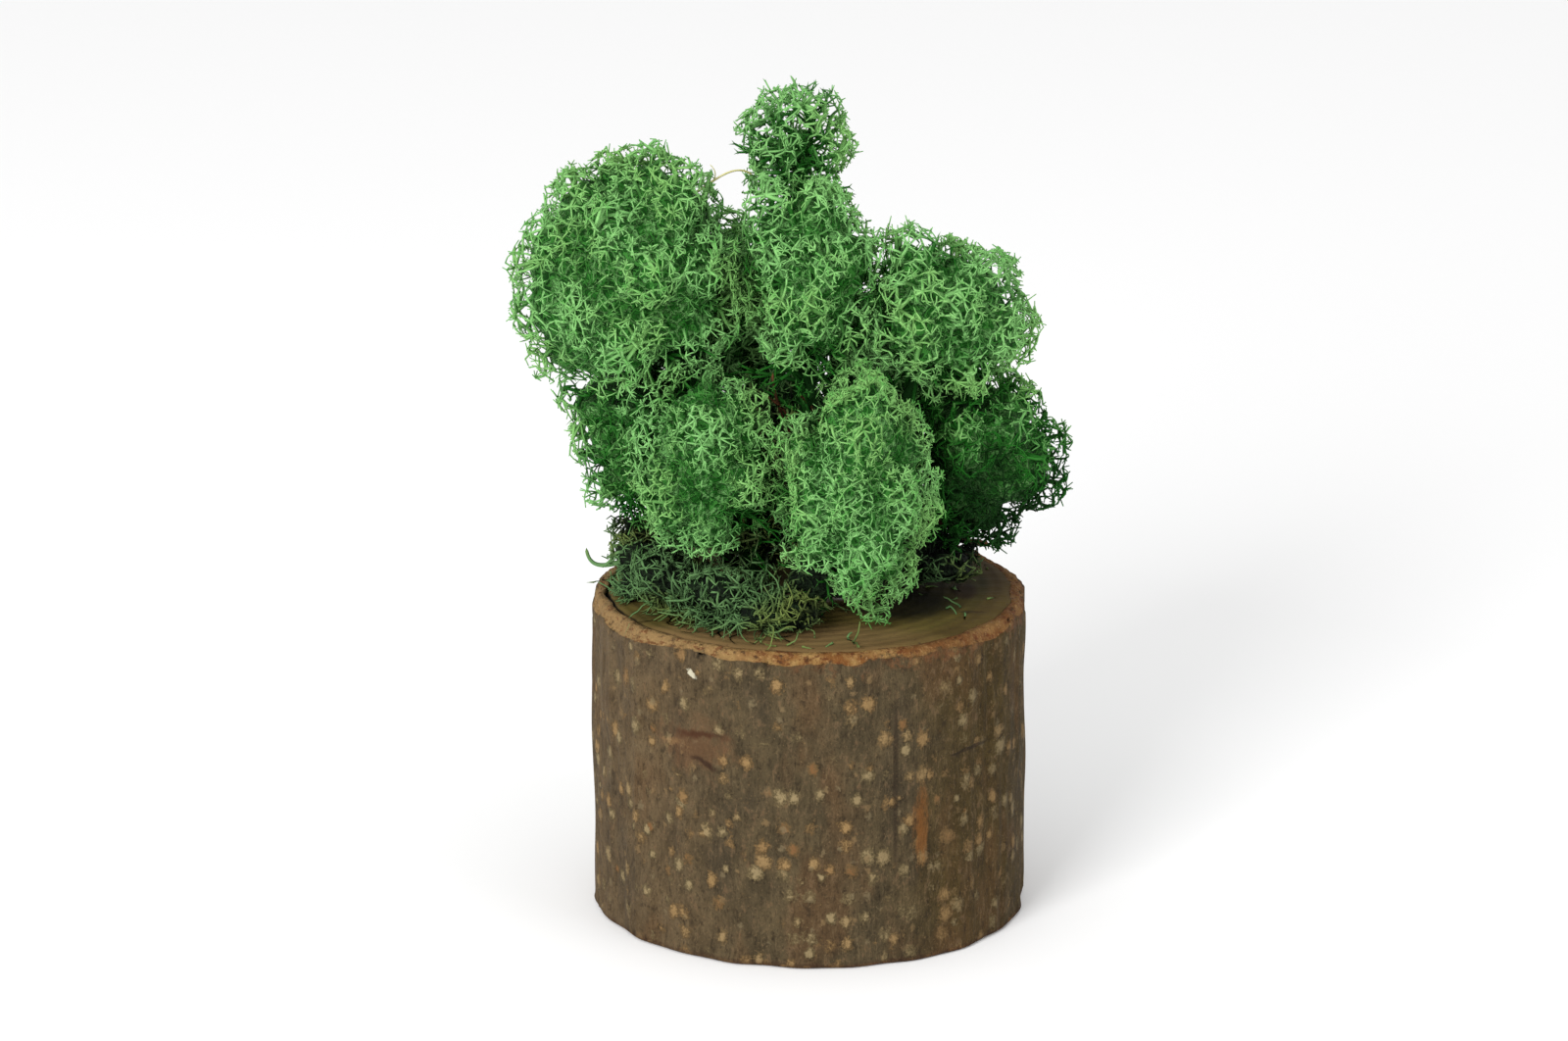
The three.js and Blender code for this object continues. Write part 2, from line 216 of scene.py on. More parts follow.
# %% Material helper
class Socket:
    """A node's output in a material, with arithmetic that adds Math nodes."""

    def __init__(self, tree, output):
        self.tree = tree
        self.output = output

    def node(self, kind, settings=None, output=0, **inputs):
        """One output of a new node of this kind. Its inputs go by name, or as i0, i1 and so on."""
        made = self.tree.nodes.new(kind)
        for key, value in (settings or {}).items():
            setattr(made, key, value)
        for key, value in inputs.items():
            socket = made.inputs[int(key[1:]) if key[1:].isdigit() else key.replace("_", " ")]
            if isinstance(value, Socket):
                self.tree.links.new(value.output, socket)
            else:
                socket.default_value = value
        return Socket(self.tree, made.outputs[output])

    def maths(self, operation, a, b=0.0):
        return self.node("ShaderNodeMath", {"operation": operation}, i0=a, i1=b)

    def __add__(self, other):
        return self.maths("ADD", self, other)

    def __radd__(self, other):
        return self.maths("ADD", other, self)

    def __sub__(self, other):
        return self.maths("SUBTRACT", self, other)

    def __rsub__(self, other):
        return self.maths("SUBTRACT", other, self)

    def __mul__(self, other):
        return self.maths("MULTIPLY", self, other)

    def __rmul__(self, other):
        return self.maths("MULTIPLY", other, self)

    def __truediv__(self, other):
        return self.maths("DIVIDE", self, other)

    def __pow__(self, other):
        return self.maths("POWER", self, other)

    def between(self, low, high):
        """0 below low, 1 above high and a smooth step from one to the other."""
        settings = {"interpolation_type": "SMOOTHSTEP", "clamp": True}
        return self.node("ShaderNodeMapRange", settings, Value=self, From_Min=low, From_Max=high)

    def mix(self, first, second):
        """The colour first where this mask is 0 and second where it is 1."""
        made = self.tree.nodes.new("ShaderNodeMix")
        made.data_type = "RGBA"
        self.tree.links.new(self.output, made.inputs[0])
        for index, colour in ((6, first), (7, second)):
            if isinstance(colour, Socket):
                self.tree.links.new(colour.output, made.inputs[index])
            else:
                made.inputs[index].default_value = (*colour, 1)
        return Socket(self.tree, made.outputs[2])

    def tones(self, low, high, first, second):
        """A colour that goes from first to second, as a screen shows them, while this goes up."""
        return self.between(low, high).mix(rgb(*first), rgb(*second))

    def stretched(self, x=1, y=1, z=1):
        """These coordinates times three numbers: a small one stretches a pattern that way."""
        return self.node("ShaderNodeVectorMath", {"operation": "MULTIPLY"}, i0=self, i1=(x, y, z))

    def noise(self, scale, detail=2.0, roughness=0.5):
        """Noise of about this many blotches a metre, with these coordinates."""
        return self.node("ShaderNodeTexNoise", Vector=self, Scale=scale, Detail=detail, Roughness=roughness)

    def axis(self, number):
        """One of the three coordinates, in metres."""
        return self.node("ShaderNodeSeparateXYZ", output=number, Vector=self)

    def layer(self, name):
        """A number that the mesh stores per point."""
        return self.node("ShaderNodeAttribute", {"attribute_name": name}, 2)


def rgb(red, green, blue):
    """Blender's linear colour for red, green and blue as a screen shows them, from 0 to 255."""
    shares = np.array([red, green, blue]) / 255
    return tuple(np.where(shares <= 0.04045, shares / 12.92, ((shares + 0.055) / 1.055) ** 2.4).tolist())


def new_material(name, roughness=0.8, gloss=0.15):
    """A material with its Principled shader, and a Socket that holds Object coordinates."""
    material = bpy.data.materials.new(name)
    material.use_nodes = True
    tree = material.node_tree
    shader = tree.nodes["Principled BSDF"]
    shader.inputs["Roughness"].default_value = roughness
    shader.inputs["Specular IOR Level"].default_value = gloss
    place = Socket(tree, tree.nodes.new("ShaderNodeTexCoord").outputs["Object"])
    return material, shader, place


def drive(shader, name, socket):
    """Links a Socket to one input of the shader."""
    socket.tree.links.new(socket.output, shader.inputs[name])


def bump(shader, height, depth):
    """Raises the surface by height, a Socket from 0 to 1, times depth in millimetres."""
    drive(shader, "Normal", height.node("ShaderNodeBump", Height=height, Strength=1.0, Distance=depth * MM))


def layered(colour, layers):
    """Coats of paint over a colour. Each has a mask, the values at which the mask starts and is full,
    how strong the coat is there, and its colour: a Socket, or three numbers as a screen shows them."""
    for mask, start, full, strength, paint in layers:
        paint = paint if isinstance(paint, Socket) else rgb(*paint)
        colour = (mask.between(start, full) * strength).mix(colour, paint)
    return colour


# %% [markdown]
# # The form of each head
# A head of reindeer moss is a rounded cushion on a stalk. Its form starts as an ellipsoid. A table says
# where each head is, how large it is, where its stalk stands and which larger bumps it has. The small
# domes and lobes follow from a seeded rule, as no two heads should look alike.

# %% Where the heads are
LOG_RADIUS = 28.8
LOG_HEIGHT = 44.0
GLUE = {"x": -0.5, "y": 2.0, "radius": 11.5, "height": 3.2}
MAT = {"ring": 19.3, "start": 2.85, "end": 4.5, "core": 2.5, "sprig": 4.4}
STALK_RADIUS, STALK_STEPS = 1.2, 21

# Name, middle, half-sizes, where the stalk stands, the distance between the last twigs, how much darker
# the head is, as painted shade that grows towards its bottom, how deep its packed old growth lies, and
# bumps as (direction, rise).
HEADS = [
    ("upper_left", (-23.1, -2, 88.9), (13.8, 13.5, 17), (-5, 1), 0.95, 0.0, 3.0,
     [((-1, 0.1, -0.32), 0.34), ((-0.7, -0.1, -0.7), 0.2), ((-0.7, 0, 0.7), 0.12), ((0.42, 0, 0.9), 0.09),
      ((0.9, 0, 0.4), -0.06)]),
    ("top_back", (-2, 7, 104), (8.2, 7.8, 9.2), (0, 4.2), 0.95, 1.2, 6.5,
     [((0.48, 0.2, 0.85), 0.24), ((-0.5, 0.35, 0.8), -0.26), ((0.97, 0, 0), -0.12)]),
    ("centre", (0.2, -5, 89), (9.2, 9.6, 15), (0, -1), 0.95, 0.3, 3.0,
     [((0.8, -0.1, -0.3), 0.08), ((0.7, 0, 0.65), -0.1), ((-0.75, 0, 0.66), 0.24), ((-0.8, -0.3, 0), 0.08)]),
    ("right", (18.2, -3, 83.8), (11.4, 11.3, 12), (4.2, 1), 0.95, 0.5, 3.2,
     [((-0.38, 0, 0.92), 0.2), ((0.2, 0.45, 0.87), -0.3), ((0.62, 0, 0.78), -0.08), ((0.9, 0.2, -0.1), 0.1)]),
    ("right_low", (22.8, 1, 62), (11, 12, 12.6), (8.2, 3), 1.02, 6.4, 3.4, [((0.95, 0, -0.25), 0.14)]),
    ("front", (6, -17, 62.6), (11.2, 10.5, 16), (3, -5.2), 0.76, 0.0, 2.6,
     [((-0.7, -0.2, -0.3), 0.1), ((0.3, -0.2, 0.9), 0.06), ((0.2, -0.3, -0.9), 0.06)]),
    ("left_low", (-14, -12, 64.8), (9.8, 9.8, 13), (-6.6, -3.4), 0.86, 1.0, 2.8,
     [((0.2, -0.3, 0.9), 0.1), ((0.1, -0.2, -0.9), 0.08)]),
    ("left_edge", (-22, 0.5, 65.5), (10.2, 11, 13.5), (-9.4, 1.2), 1.05, 2.2, 3.2,
     [((-0.86, 0, 0.51), 0.38), ((-1, 0, -0.05), -0.14)]),
    ("back_left", (-13, 15, 78.4), (14, 12.5, 14.2), (-4.2, 6.2), 1.25, 0.4, 3.6, [((-0.6, 0.6, 0.3), 0.12)]),
    ("back_right", (12.5, 15.5, 71.4), (13.5, 12.5, 12.8), (5.2, 6.4), 1.25, 0.4, 3.6,
     [((0.3, 0.9, 0.2), 0.1), ((0.5, 0, 0.87), -0.12)]),
    ("back_low", (-5, 19.5, 58.5), (15, 9.5, 13), (-0.6, 9.4), 1.25, 0.6, 3.6, [((-0.9, 0.3, 0), 0.1)]),
]

# The mat and the dark growth between the stalks are low heads of the same kind, spread on the log.
LOW_HEADS = [
    ("mat_1", (-20.5, 3.2, 47.8), (5.6, 5.8, 5), (-20.5, 3.2), 1.2, 1.0, 2.4),
    ("mat_2", (-21, -4.2, 48.4), (6.2, 6, 5.6), (-21, -4.2), 1.2, 0.8, 2.4),
    ("mat_3", (-17.2, -10.6, 48), (6.4, 6, 5), (-17.2, -10.6), 1.2, 1.0, 2.4),
    ("mat_4", (-12.2, -15.8, 47.4), (6, 6, 4.6), (-12.2, -15.8), 1.2, 0.9, 2.4),
    ("mat_5", (-6, -18.8, 47), (5.8, 5, 3.8), (-6, -18.8), 1.2, 1.1, 2.2),
    ("mat_6", (-1.2, -19.8, 46.6), (4.8, 4.6, 3), (-1.2, -19.8), 1.2, 1.0, 2.0),
    ("mat_7", (-22.8, -1.4, 53.2), (4.6, 5, 5), (-21, -1.4), 1.1, -0.1, 3.2),
    ("between_1", (3.5, -9.5, 49.8), (7.5, 5, 4.2), (3.5, -9.5), 1.15, 1.6, 2.2),
    ("between_2", (14.5, 0, 49.6), (8.5, 8, 4.6), (14.5, 0), 1.15, 3.4, 2.2),
]
MAT_HEADS = 7  # the low heads that make up the mat

SOFT = 2.4  # millimetres of softness where two heads meet
LOBES = [(8.5, 3.4, 4.2), (4.2, 1.6, 1.8)]  # spacing, width and rise of lobes and of the tufts on them
DOMES, DOME_RISE, DOME_SHARPNESS = 9, 0.13, 7  # with 7, a dome is half as high 26 degrees off its top
BUMP_SHARPNESS = 11
FILL = 0.87  # surface taken up by a point of an even pattern, as a share of the squared distance


def even_ways(count, phase):
    """Directions spread evenly over a ball: heights fall in equal steps, turns go by the golden angle."""
    i = np.arange(count)
    z = 1 - (2 * i + 1) / count
    turn = i * math.pi * (3 - math.sqrt(5)) + phase
    flat = np.sqrt(1 - z * z)
    return np.stack([flat * np.cos(turn), flat * np.sin(turn), z], axis=1)


def shaken_ways(mean, spacing, phase, random, fill=FILL, least=0):
    """Even directions, so many that their points on a ball of radius mean lie this far apart, each one
    shaken by about a third of that."""
    count = max(least, int(4 * math.pi * mean**2 / (fill * spacing**2)))
    return unit(even_ways(count, phase) + random.normal(0, 0.3 * spacing / mean, (count, 3)))


class Head:
    """The rounded form of one head, its stalk's line and the point where the stalk forks."""

    def __init__(self, index, name, middle, half, foot, spacing, shade, packed, bumps=()):
        self.index, self.name, self.spacing, self.shade, self.packed = index, name, spacing, shade, packed
        self.middle, self.half = np.array(middle, float), np.array(half, float)
        self.bumps = [(unit(np.array(way, float)), rise) for way, rise in bumps]
        self.phase = 2.4 * index
        self.mean = self.half.mean()
        self.fine = min(spacing, 1.0)  # closer twigs are also thinner
        random = np.random.default_rng(40 + index)
        self.lobes = []
        for apart, width, rise in LOBES:
            ways = shaken_ways(self.mean, apart, self.phase, random, fill=1)
            heights = 0.6 + 0.4 * random.random(len(ways))
            self.lobes.append((ways, heights, (self.mean / width) ** 2, rise / self.mean))
        self.root = np.array([*foot, LOG_HEIGHT + 1])
        self.down = unit(self.root - self.middle)
        self.fork = self.middle + 0.4 * self.mean * self.down
        knee = self.root + 0.45 * (self.fork - self.root)
        knee[2] += 0.12 * (self.fork[2] - self.root[2])
        share = np.linspace(0, 1, STALK_STEPS)[:, None]
        self.stalk = (1 - share) ** 2 * self.root + 2 * share * (1 - share) * knee + share**2 * self.fork


heads = [Head(index, *row) for index, row in enumerate(HEADS)]
print("heads:", len(heads), "mean half-sizes in mm:", [round(float(h.mean), 1) for h in heads])

# %% [markdown]
# # The outline of the clump
# Domes, lobes and tufts break up the smooth form of a head. Two heads that press against each other
# share the space between them in proportion to their sizes, and moss fills the crease between them a
# little. So the outline is a smooth union of the heads. It is found by walking outwards from the point
# where a head's stalk forks, until the walk leaves the clump or runs into a neighbour.


# %% Outline of the clump
def surface(head, ways):
    """Middle + way * half-sizes * share, where share rises near each of nine domes, each bump and each
    of the lobes and tufts: the largest height * exp(sharpness * (cosine - 1)). Also says how far, in
    millimetres, each point lies in a crease between the lobes."""
    near_dome = np.exp(DOME_SHARPNESS * (ways @ even_ways(DOMES, head.phase).T - 1)).max(axis=1)
    relief = np.zeros(len(ways))
    for tops, heights, sharpness, rise in head.lobes:
        relief += rise * ((heights * np.exp(sharpness * (ways @ tops.T - 1))).max(axis=1) - 0.6)
    share = 0.92 + DOME_RISE * near_dome + relief
    for way, rise in head.bumps:
        share = share + rise * np.exp(BUMP_SHARPNESS * (ways @ way - 1))
    return head.middle + ways * head.half * share[:, None], np.clip(-head.mean * relief, 0, 3)


def room(own, points):
    """Free distance at each point from the log, the glue and the mat, and from the other heads' shares
    of the space: the difference of the two heads' relative distances over the sum of 1 / size."""
    x, y, z = points.T
    floor = np.full(len(points), LOG_HEIGHT)
    on_glue = np.hypot(x - GLUE["x"], y - GLUE["y"]) < GLUE["radius"] + 1
    floor = np.where(on_glue, LOG_HEIGHT + GLUE["height"], floor)
    turn = np.arctan2(y, x) % (2 * math.pi)
    beyond = MAT["ring"] * np.maximum(np.maximum(MAT["start"] - turn, turn - MAT["end"]), 0)
    near_mat = np.hypot(beyond, np.hypot(x, y) - MAT["ring"]) < MAT["core"] + 1.2 * MAT["sprig"]
    near_mat = near_mat & (own.index < len(HEADS))
    floor = np.where(near_mat, LOG_HEIGHT + 2 * MAT["core"] + MAT["sprig"], floor)
    free = z - floor
    ours = np.linalg.norm((points - own.middle) / own.half, axis=1)
    for other in heads:
        if other is own:
            continue
        theirs = np.linalg.norm((points - other.middle) / other.half, axis=1)
        between = (theirs - ours) / (1 / other.mean + 1 / own.mean)
        free = np.minimum(free, np.where(theirs < 1.6, between, 1e3))
        for step in other.stalk[::2]:
            free = np.minimum(free, np.linalg.norm(points - step, axis=1) - STALK_RADIUS)
    return free


def reach(head, ends, margin=0.25):
    """How far the moss goes from the head's fork towards each end, in millimetres, and how far its
    last point lies under the outside of the whole clump. The outside is a smooth union of the heads:
    -SOFT * log(sum of exp(-distance / SOFT)), which fills the creases between them a little."""
    steps = np.linspace(0.1, 1.3, 31)
    length = np.linalg.norm(ends - head.fork, axis=1)
    along = (head.fork + (ends - head.fork)[:, None] * steps[None, :, None]).reshape(-1, 3)
    total = np.exp(-(steps - 1)[None] * length[:, None] / SOFT).ravel()
    for other in heads:
        if other is not head:
            outside = (np.linalg.norm((along - other.middle) / other.half, axis=1) - 0.97) * other.mean
            total = total + np.exp(-np.maximum(outside, -20) / SOFT)
    outside = -SOFT * np.log(total).reshape(len(ends), -1)
    stop = np.maximum(outside, margin - room(head, along).reshape(len(ends), -1))
    stop[:, -1] = np.maximum(stop[:, -1], 1e-3)
    last = np.maximum((stop > 0).argmax(axis=1), 1)
    rows = np.arange(len(ends))
    before, after = stop[rows, last - 1], stop[rows, last]
    part = np.clip(-before / np.maximum(after - before, 1e-6), 0, 1)
    return (steps[last - 1] + part * (steps[1] - steps[0])) * length, -outside[rows, last - 1]


def outline(head, ways):
    """From the fork to the outline of the clump along these ways: each direction and distance, how far
    that end lies inside the clump, and how deep in a crease."""
    ends, crease = surface(head, ways)
    length, inside = reach(head, ends)
    return unit(ends - head.fork), length, inside, crease


# %% [markdown]
# # Twigs as tubes
# Every twig is a slim tube carried along a curved path. There are tens of thousands, so each has only
# three to five sides, and all twigs of one kind are made in one go as a block of arrays. A twig leaves
# its parent in the parent's own direction and bends towards its goal, which a Hermite curve does.


# %% Tubes along many paths
def square_to(ways, lead):
    """Two unit vectors square to each way and to each other. The first one is level, or where the lead
    is steep, square to the x axis."""
    helper = np.where(np.abs(lead[..., 2:]) < 0.8, [0.0, 0.0, 1.0], [1.0, 0.0, 0.0])
    u = unit(np.cross(ways, helper))
    return u, np.cross(ways, u)


def tubes(paths, radii, sides, values, blunt=False):
    """Closed tubes along many paths (n, steps, 3) at once. Ring j is its path's point j plus radius *
    (cos a * u + sin a * v), with u and v square to the path. The foot is a flat fan, and the last
    point of the path is the tube's tip, or one more ring with a flat fan if the tube is blunt. Each
    point carries its ring's value."""
    n, steps, _ = paths.shape
    rings = steps if blunt else steps - 1
    along = unit(np.gradient(paths, axis=1))[:, :rings]
    u, v = square_to(along, unit(paths[:, -1] - paths[:, 0])[:, None])
    turn = (2 * math.pi * np.arange(sides) / sides)[:, None]
    out = u[:, :, None] * np.cos(turn) + v[:, :, None] * np.sin(turn)
    ring_points = paths[:, :rings, None] + radii[:, :rings, None, None] * out
    points = np.concatenate([ring_points.reshape(n, -1, 3), paths[:, rings:]], axis=1)
    carried = np.concatenate([np.repeat(values[:, :rings], sides, axis=1), values[:, rings:]], axis=1)

    k = np.arange(sides)
    after = (k + 1) % sides
    block = []
    for j in range(rings - 1):
        low, high = j * sides, (j + 1) * sides
        block.append(np.stack([low + k, low + after, high + after], axis=1))
        block.append(np.stack([low + k, high + after, high + k], axis=1))
    last = (rings - 1) * sides
    if blunt:
        block.append(np.stack([np.full(sides - 2, last), last + k[1:-1], last + k[2:]], axis=1))
    else:
        block.append(np.stack([last + k, last + after, np.full(sides, rings * sides)], axis=1))
    block.append(np.stack([np.zeros(sides - 2, int), k[2:], k[1:-1]], axis=1))
    block = np.concatenate(block)
    starts = np.arange(n) * points.shape[1]
    faces = (block[None] + starts[:, None, None]).reshape(-1, 3)
    return points.reshape(-1, 3), faces, carried.reshape(-1)


def bent(start, end, start_way, end_way, steps):
    """Points of a cubic Hermite curve from start to end that leaves along start_way and arrives
    along end_way, both scaled by the curve's own length."""
    length = np.linalg.norm(end - start, axis=1)[:, None]
    t = np.linspace(0, 1, steps)[None, :, None]
    a, b = (start_way * length)[:, None], (end_way * length)[:, None]
    return (
        (2 * t**3 - 3 * t**2 + 1) * start[:, None] + (t**3 - 2 * t**2 + t) * a
        + (3 * t**2 - 2 * t**3) * end[:, None] + (t**3 - t**2) * b
    )


def with_tip(paths, radius):
    """The paths with one more point, 0.6 of a radius further on, for the tube's closed end."""
    ahead = unit(paths[:, -1] - paths[:, -2]) * (0.6 * radius)[:, None]
    return np.concatenate([paths, (paths[:, -1] + ahead)[:, None]], axis=1)


def leaning(ways, random, count, low, high, shake=0.7):
    """For each way, count ways spread round it that lean away from it by low to high radians."""
    u, v = square_to(ways, ways)
    turn = 2 * math.pi * ((np.arange(count)[None] + shake * random.random((len(ways), count))) / count
                          + random.random((len(ways), 1)))
    lean = low + (high - low) * random.random((len(ways), count))
    out = u[:, None] * np.cos(turn)[..., None] + v[:, None] * np.sin(turn)[..., None]
    return (ways[:, None] * np.cos(lean)[..., None] + out * np.sin(lean)[..., None]).reshape(-1, 3)


def stars(places, ways, depths, random, count, length, radius):
    """A star of count short three-sided spikes at each place, which lean out from the way that its twig
    points by about half a right angle. A spike's tip counts as less deep than its foot."""
    out = leaning(ways, random, count, 0.47, 0.97, shake=0.5)
    start = np.repeat(places, count, axis=0)
    end = start + (length * (0.7 + 0.6 * random.random(len(out))))[:, None] * out
    depth = np.repeat(np.broadcast_to(depths, len(places)), count)[:, None] + [[0.0, -0.7]]
    return tubes(np.stack([start, end], axis=1), np.full((len(out), 2), radius), 3, depth)


# %% [markdown]
# # Growing a head
# The twigs are found from outside in. Points are laid evenly on shells at growing depth under the
# head's surface, each shell coarser than the one above it. Every point joins the nearest point of the
# next shell down, so the shells become one tree. The shells lie close under each other, because the
# last forks of this lichen spread sideways into flat fans. Between the fans stay small dark pores, so
# the outer points are pushed to the rims of pores. A twig's thickness follows from how many last twigs
# hang on it: a small power of that number, as in real branching plants.

# %% Points of one shell
DEPTHS = [0.15, 0.4, 0.8, 1.7, 3.6, 7.6]  # millimetres under the surface
COARSER = [0.81, 1.35, 2.15, 3.5, 5.8, 9.2]  # distance between points, times the head's own spacing
STEPS = [2, 3, 3, 4, 5, 6]
SIDES = [3, 3, 3, 4, 5, 5]
OPEN = [1.7, 2.2, 3.0, 9.0, 9.0, 9.0]  # no points of this shell where a crease is deeper than this
PULL = 0.3  # a twig starts at most this share of the spacing nearer to the middle of its lobe
# Painted shade: a crease is coloured darker, as if its moss lay deeper.
CREASE_SHADE = 1.8  # a crease one millimetre deep is coloured as if it lay this much deeper
# Painted shade where two heads meet.
SEAM_SHADE = 1.5  # how much deeper the moss looks for each millimetre that it lies between two heads
HIDDEN = [1.3, 1.9, 3.6, 8.0, 99.0, 99.0]  # a point further inside the clump than this is left out
STALK_SIDE = 0.86  # a point whose way has a larger cosine to the stalk's is left out
PORE_SPACING, PORE_RADIUS = 3.6, 1.3
BRIDGED = [1, 2]  # the shells whose points are also tied to their neighbours
BRIDGED_SHARE = 0.7
TWIG_RADIUS, LAST_RADIUS, OLD_RADIUS = 0.116, 0.108, 0.15
LAST_LOAD, LOAD_POWER = 0.7, 0.27  # under n last twigs: TWIG_RADIUS * (LAST_LOAD * n) ** LOAD_POWER
STALK_DEPTH, PACKED_DEPTH = 12.0, 20.0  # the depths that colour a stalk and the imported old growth
LEVELS = len(DEPTHS)


def nearest_pore(head, ways):
    """For each direction, its nearest pore's middle and the cosine of the angle to it."""
    random = np.random.default_rng(70 + head.index)
    pores = shaken_ways(head.mean, head.fine * PORE_SPACING, head.phase + 0.5, random)
    nearness = ways @ pores.T
    return pores[nearness.argmax(axis=1)], np.clip(nearness.max(axis=1), -1, 1)[:, None]


def past_pores(head, ways):
    """Directions near a pore's middle turned away from it, to between 0.8 and 1 of its radius."""
    middle, cosine = nearest_pore(head, ways)
    angle, limit = np.arccos(cosine), head.fine * PORE_RADIUS / head.mean
    pushed = np.where(angle < limit, 0.8 * limit + 0.2 * angle, angle)
    return middle * np.cos(pushed) + unit(ways - middle * cosine) * np.sin(pushed)


def painted_seam_shade(inside):
    """Painted shade, as a depth, for moss that lies this far inside the outline of the clump, where heads
    meet.
    """
    return SEAM_SHADE * np.clip(inside - 0.4, 0, 4)


def shell(head, level, random):
    """One shell's points, their depths, and for each a short step towards the top of its lobe: evenly
    spread directions, shaken a little, and none on the outer shells where a crease is deep."""
    spacing = head.spacing * COARSER[level]
    ways = shaken_ways(head.mean, spacing, head.phase + 1.7 * level, random, least=6)
    if level < 3:
        ways = past_pores(head, ways)
    out_way, length, inside, crease = outline(head, ways)
    keep = (inside < HIDDEN[level]) & (crease < OPEN[level])
    keep = keep & (length > min(2.5, 0.3 * head.mean)) & (out_way @ head.down < STALK_SIDE)
    if not keep.any():
        return head.fork[None], np.array([DEPTHS[level]]), np.zeros((1, 3))
    count = len(ways)
    depth = DEPTHS[level] * (0.7 + 0.6 * random.random(count)) + 0.35 * random.normal(0, 1, count)
    out = np.maximum(length - depth, 0.22 * length)
    tops = head.lobes[0][0]
    towards = head.half * (tops[(ways @ tops.T).argmax(axis=1)] - ways)
    far = np.linalg.norm(towards, axis=1, keepdims=True)
    step = unit(towards) * np.minimum(0.22 * far, PULL * spacing)
    # Painted shade: creases and the seams between heads are coloured as if they lay deeper.
    under = length - out + CREASE_SHADE * crease + painted_seam_shade(inside)
    return (head.fork + out_way * out[:, None])[keep], under[keep], step[keep]


# %% [markdown]
# # Twigs between the shells
# Each point is tied to its parent by a tube, thick near the stalk and thin outside. A tree alone would
# look like a brush. The real twigs touch and tangle, so short bridges tie neighbours to each other.


# %% Twigs and bridges
def squares(points, others):
    """The squared distance from each point to each of the others."""
    return (points**2).sum(axis=1)[:, None] - 2 * points @ others.T + (others**2).sum(axis=1)[None]


def twigs_to(goals, starts, start_ways, radii, steps, sides, depths, lift):
    """Tubes from starts to goals, with radii and depths at foot and end. Each leaves between its
    parent's way and its own, and near its goal it turns towards lift. Returns the tubes and the way
    in which each one ends."""
    radii, depths = [[np.broadcast_to(value, len(goals)) for value in pair] for pair in (radii, depths)]
    own = unit(goals - starts)
    path = with_tip(bent(starts, goals, unit(0.6 * start_ways + own), unit(own + lift), steps), radii[1])
    share = np.linspace(0, 1, steps + 1)[None]
    radius = radii[0][:, None] * (1 - share) + radii[1][:, None] * share
    depth = depths[0][:, None] * (1 - share) + depths[1][:, None] * share
    return tubes(path, radius, sides, depth), unit(path[:, -1] - path[:, -2])


def last_twigs(goals, starts, depths, start_depths, fine):
    """Each last twig is one blunt strand from its fork to its goal, a little thinner at its end."""
    path = np.stack([starts, goals], axis=1)
    radii = np.tile(fine * LAST_RADIUS * np.array([1.0, 0.75]), (len(goals), 1))
    return tubes(path, radii, 3, np.stack([start_depths, depths - 0.5], axis=1), blunt=True)


def bridges(head, points, depths, radius, random):
    """Strands that close the tree into a net: from each point to one of its three nearest neighbours,
    bowed a little outwards and sideways. None crosses the middle of a pore."""
    square = squares(points, points)
    np.fill_diagonal(square, 1e6)
    close = np.argpartition(square, 3, axis=1)[:, :3]
    own = np.arange(len(points))
    other = close[own, random.integers(0, 3, len(points))]
    one, two = np.unique(np.sort(np.stack([own, other], axis=1), axis=1), axis=0).T
    _, cosine = nearest_pore(head, unit((0.5 * (points[one] + points[two]) - head.middle) / head.half))
    clear = np.arccos(cosine[:, 0]) * head.mean > 0.75 * head.fine * PORE_RADIUS
    kept = clear & (random.random(len(one)) < BRIDGED_SHARE)
    one, two = one[kept], two[kept]
    start, end = points[one], points[two]
    across, outwards = unit(end - start), unit(start - head.fork)
    bow = (0.2 + 0.3 * random.random((len(one), 1))) * outwards
    bow = bow + random.normal(0, 0.4, (len(one), 1)) * np.cross(across, outwards)
    path = bent(start, end, unit(across + bow), unit(across - bow), 3)
    depth = np.linspace(0, 1, 3)[None] * (depths[two] - depths[one])[:, None] + depths[one][:, None]
    return tubes(path, np.full((len(one), 3), radius), 3, depth, blunt=True)


# %% [markdown]
# # Inside a head
# Old growth packs the inside of a cushion, so that no light comes through. Modelling it twig by twig
# would cost too much for what is seen of it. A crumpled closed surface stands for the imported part, and
# loose broken twigs fill the space over it.


# %% Core, filling and whole head
def core(head, random, rows=26, around=40):
    """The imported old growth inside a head, as one crumpled closed surface: along each direction the
    reach less a few millimetres, more or less by a sum of 60 random dents."""
    tilt = math.pi * np.linspace(0, 1, rows)[:, None]
    turn = 2 * math.pi * np.arange(around)[None] / around
    flat = np.sin(tilt)
    ways = np.stack([flat * np.cos(turn), flat * np.sin(turn), np.cos(tilt) + 0 * turn], -1).reshape(-1, 3)
    dents, heights = unit(random.normal(0, 1, (60, 3))), random.normal(0, 1, 60)
    crumple = np.exp(0.12 * head.mean**2 * (ways @ dents.T - 1)) @ heights
    crumple = crumple + 0.3 * random.normal(0, 1, len(ways))
    out_way, length, inside, _ = outline(head, ways)
    depth = head.packed + 0.5 * crumple + 4 * np.clip(out_way @ head.down - 0.5, 0, 1)
    out = np.maximum(length - depth, 0.15 * length)
    # Painted shade where heads meet darkens the packed growth.
    value = PACKED_DEPTH + crumple + 2 * painted_seam_shade(inside)
    faces = one_pole(grid_faces(rows, around), rows, around)
    points, faces, (value,) = without_unused(head.fork + out_way * out[:, None], faces, [value])
    return points, faces, value


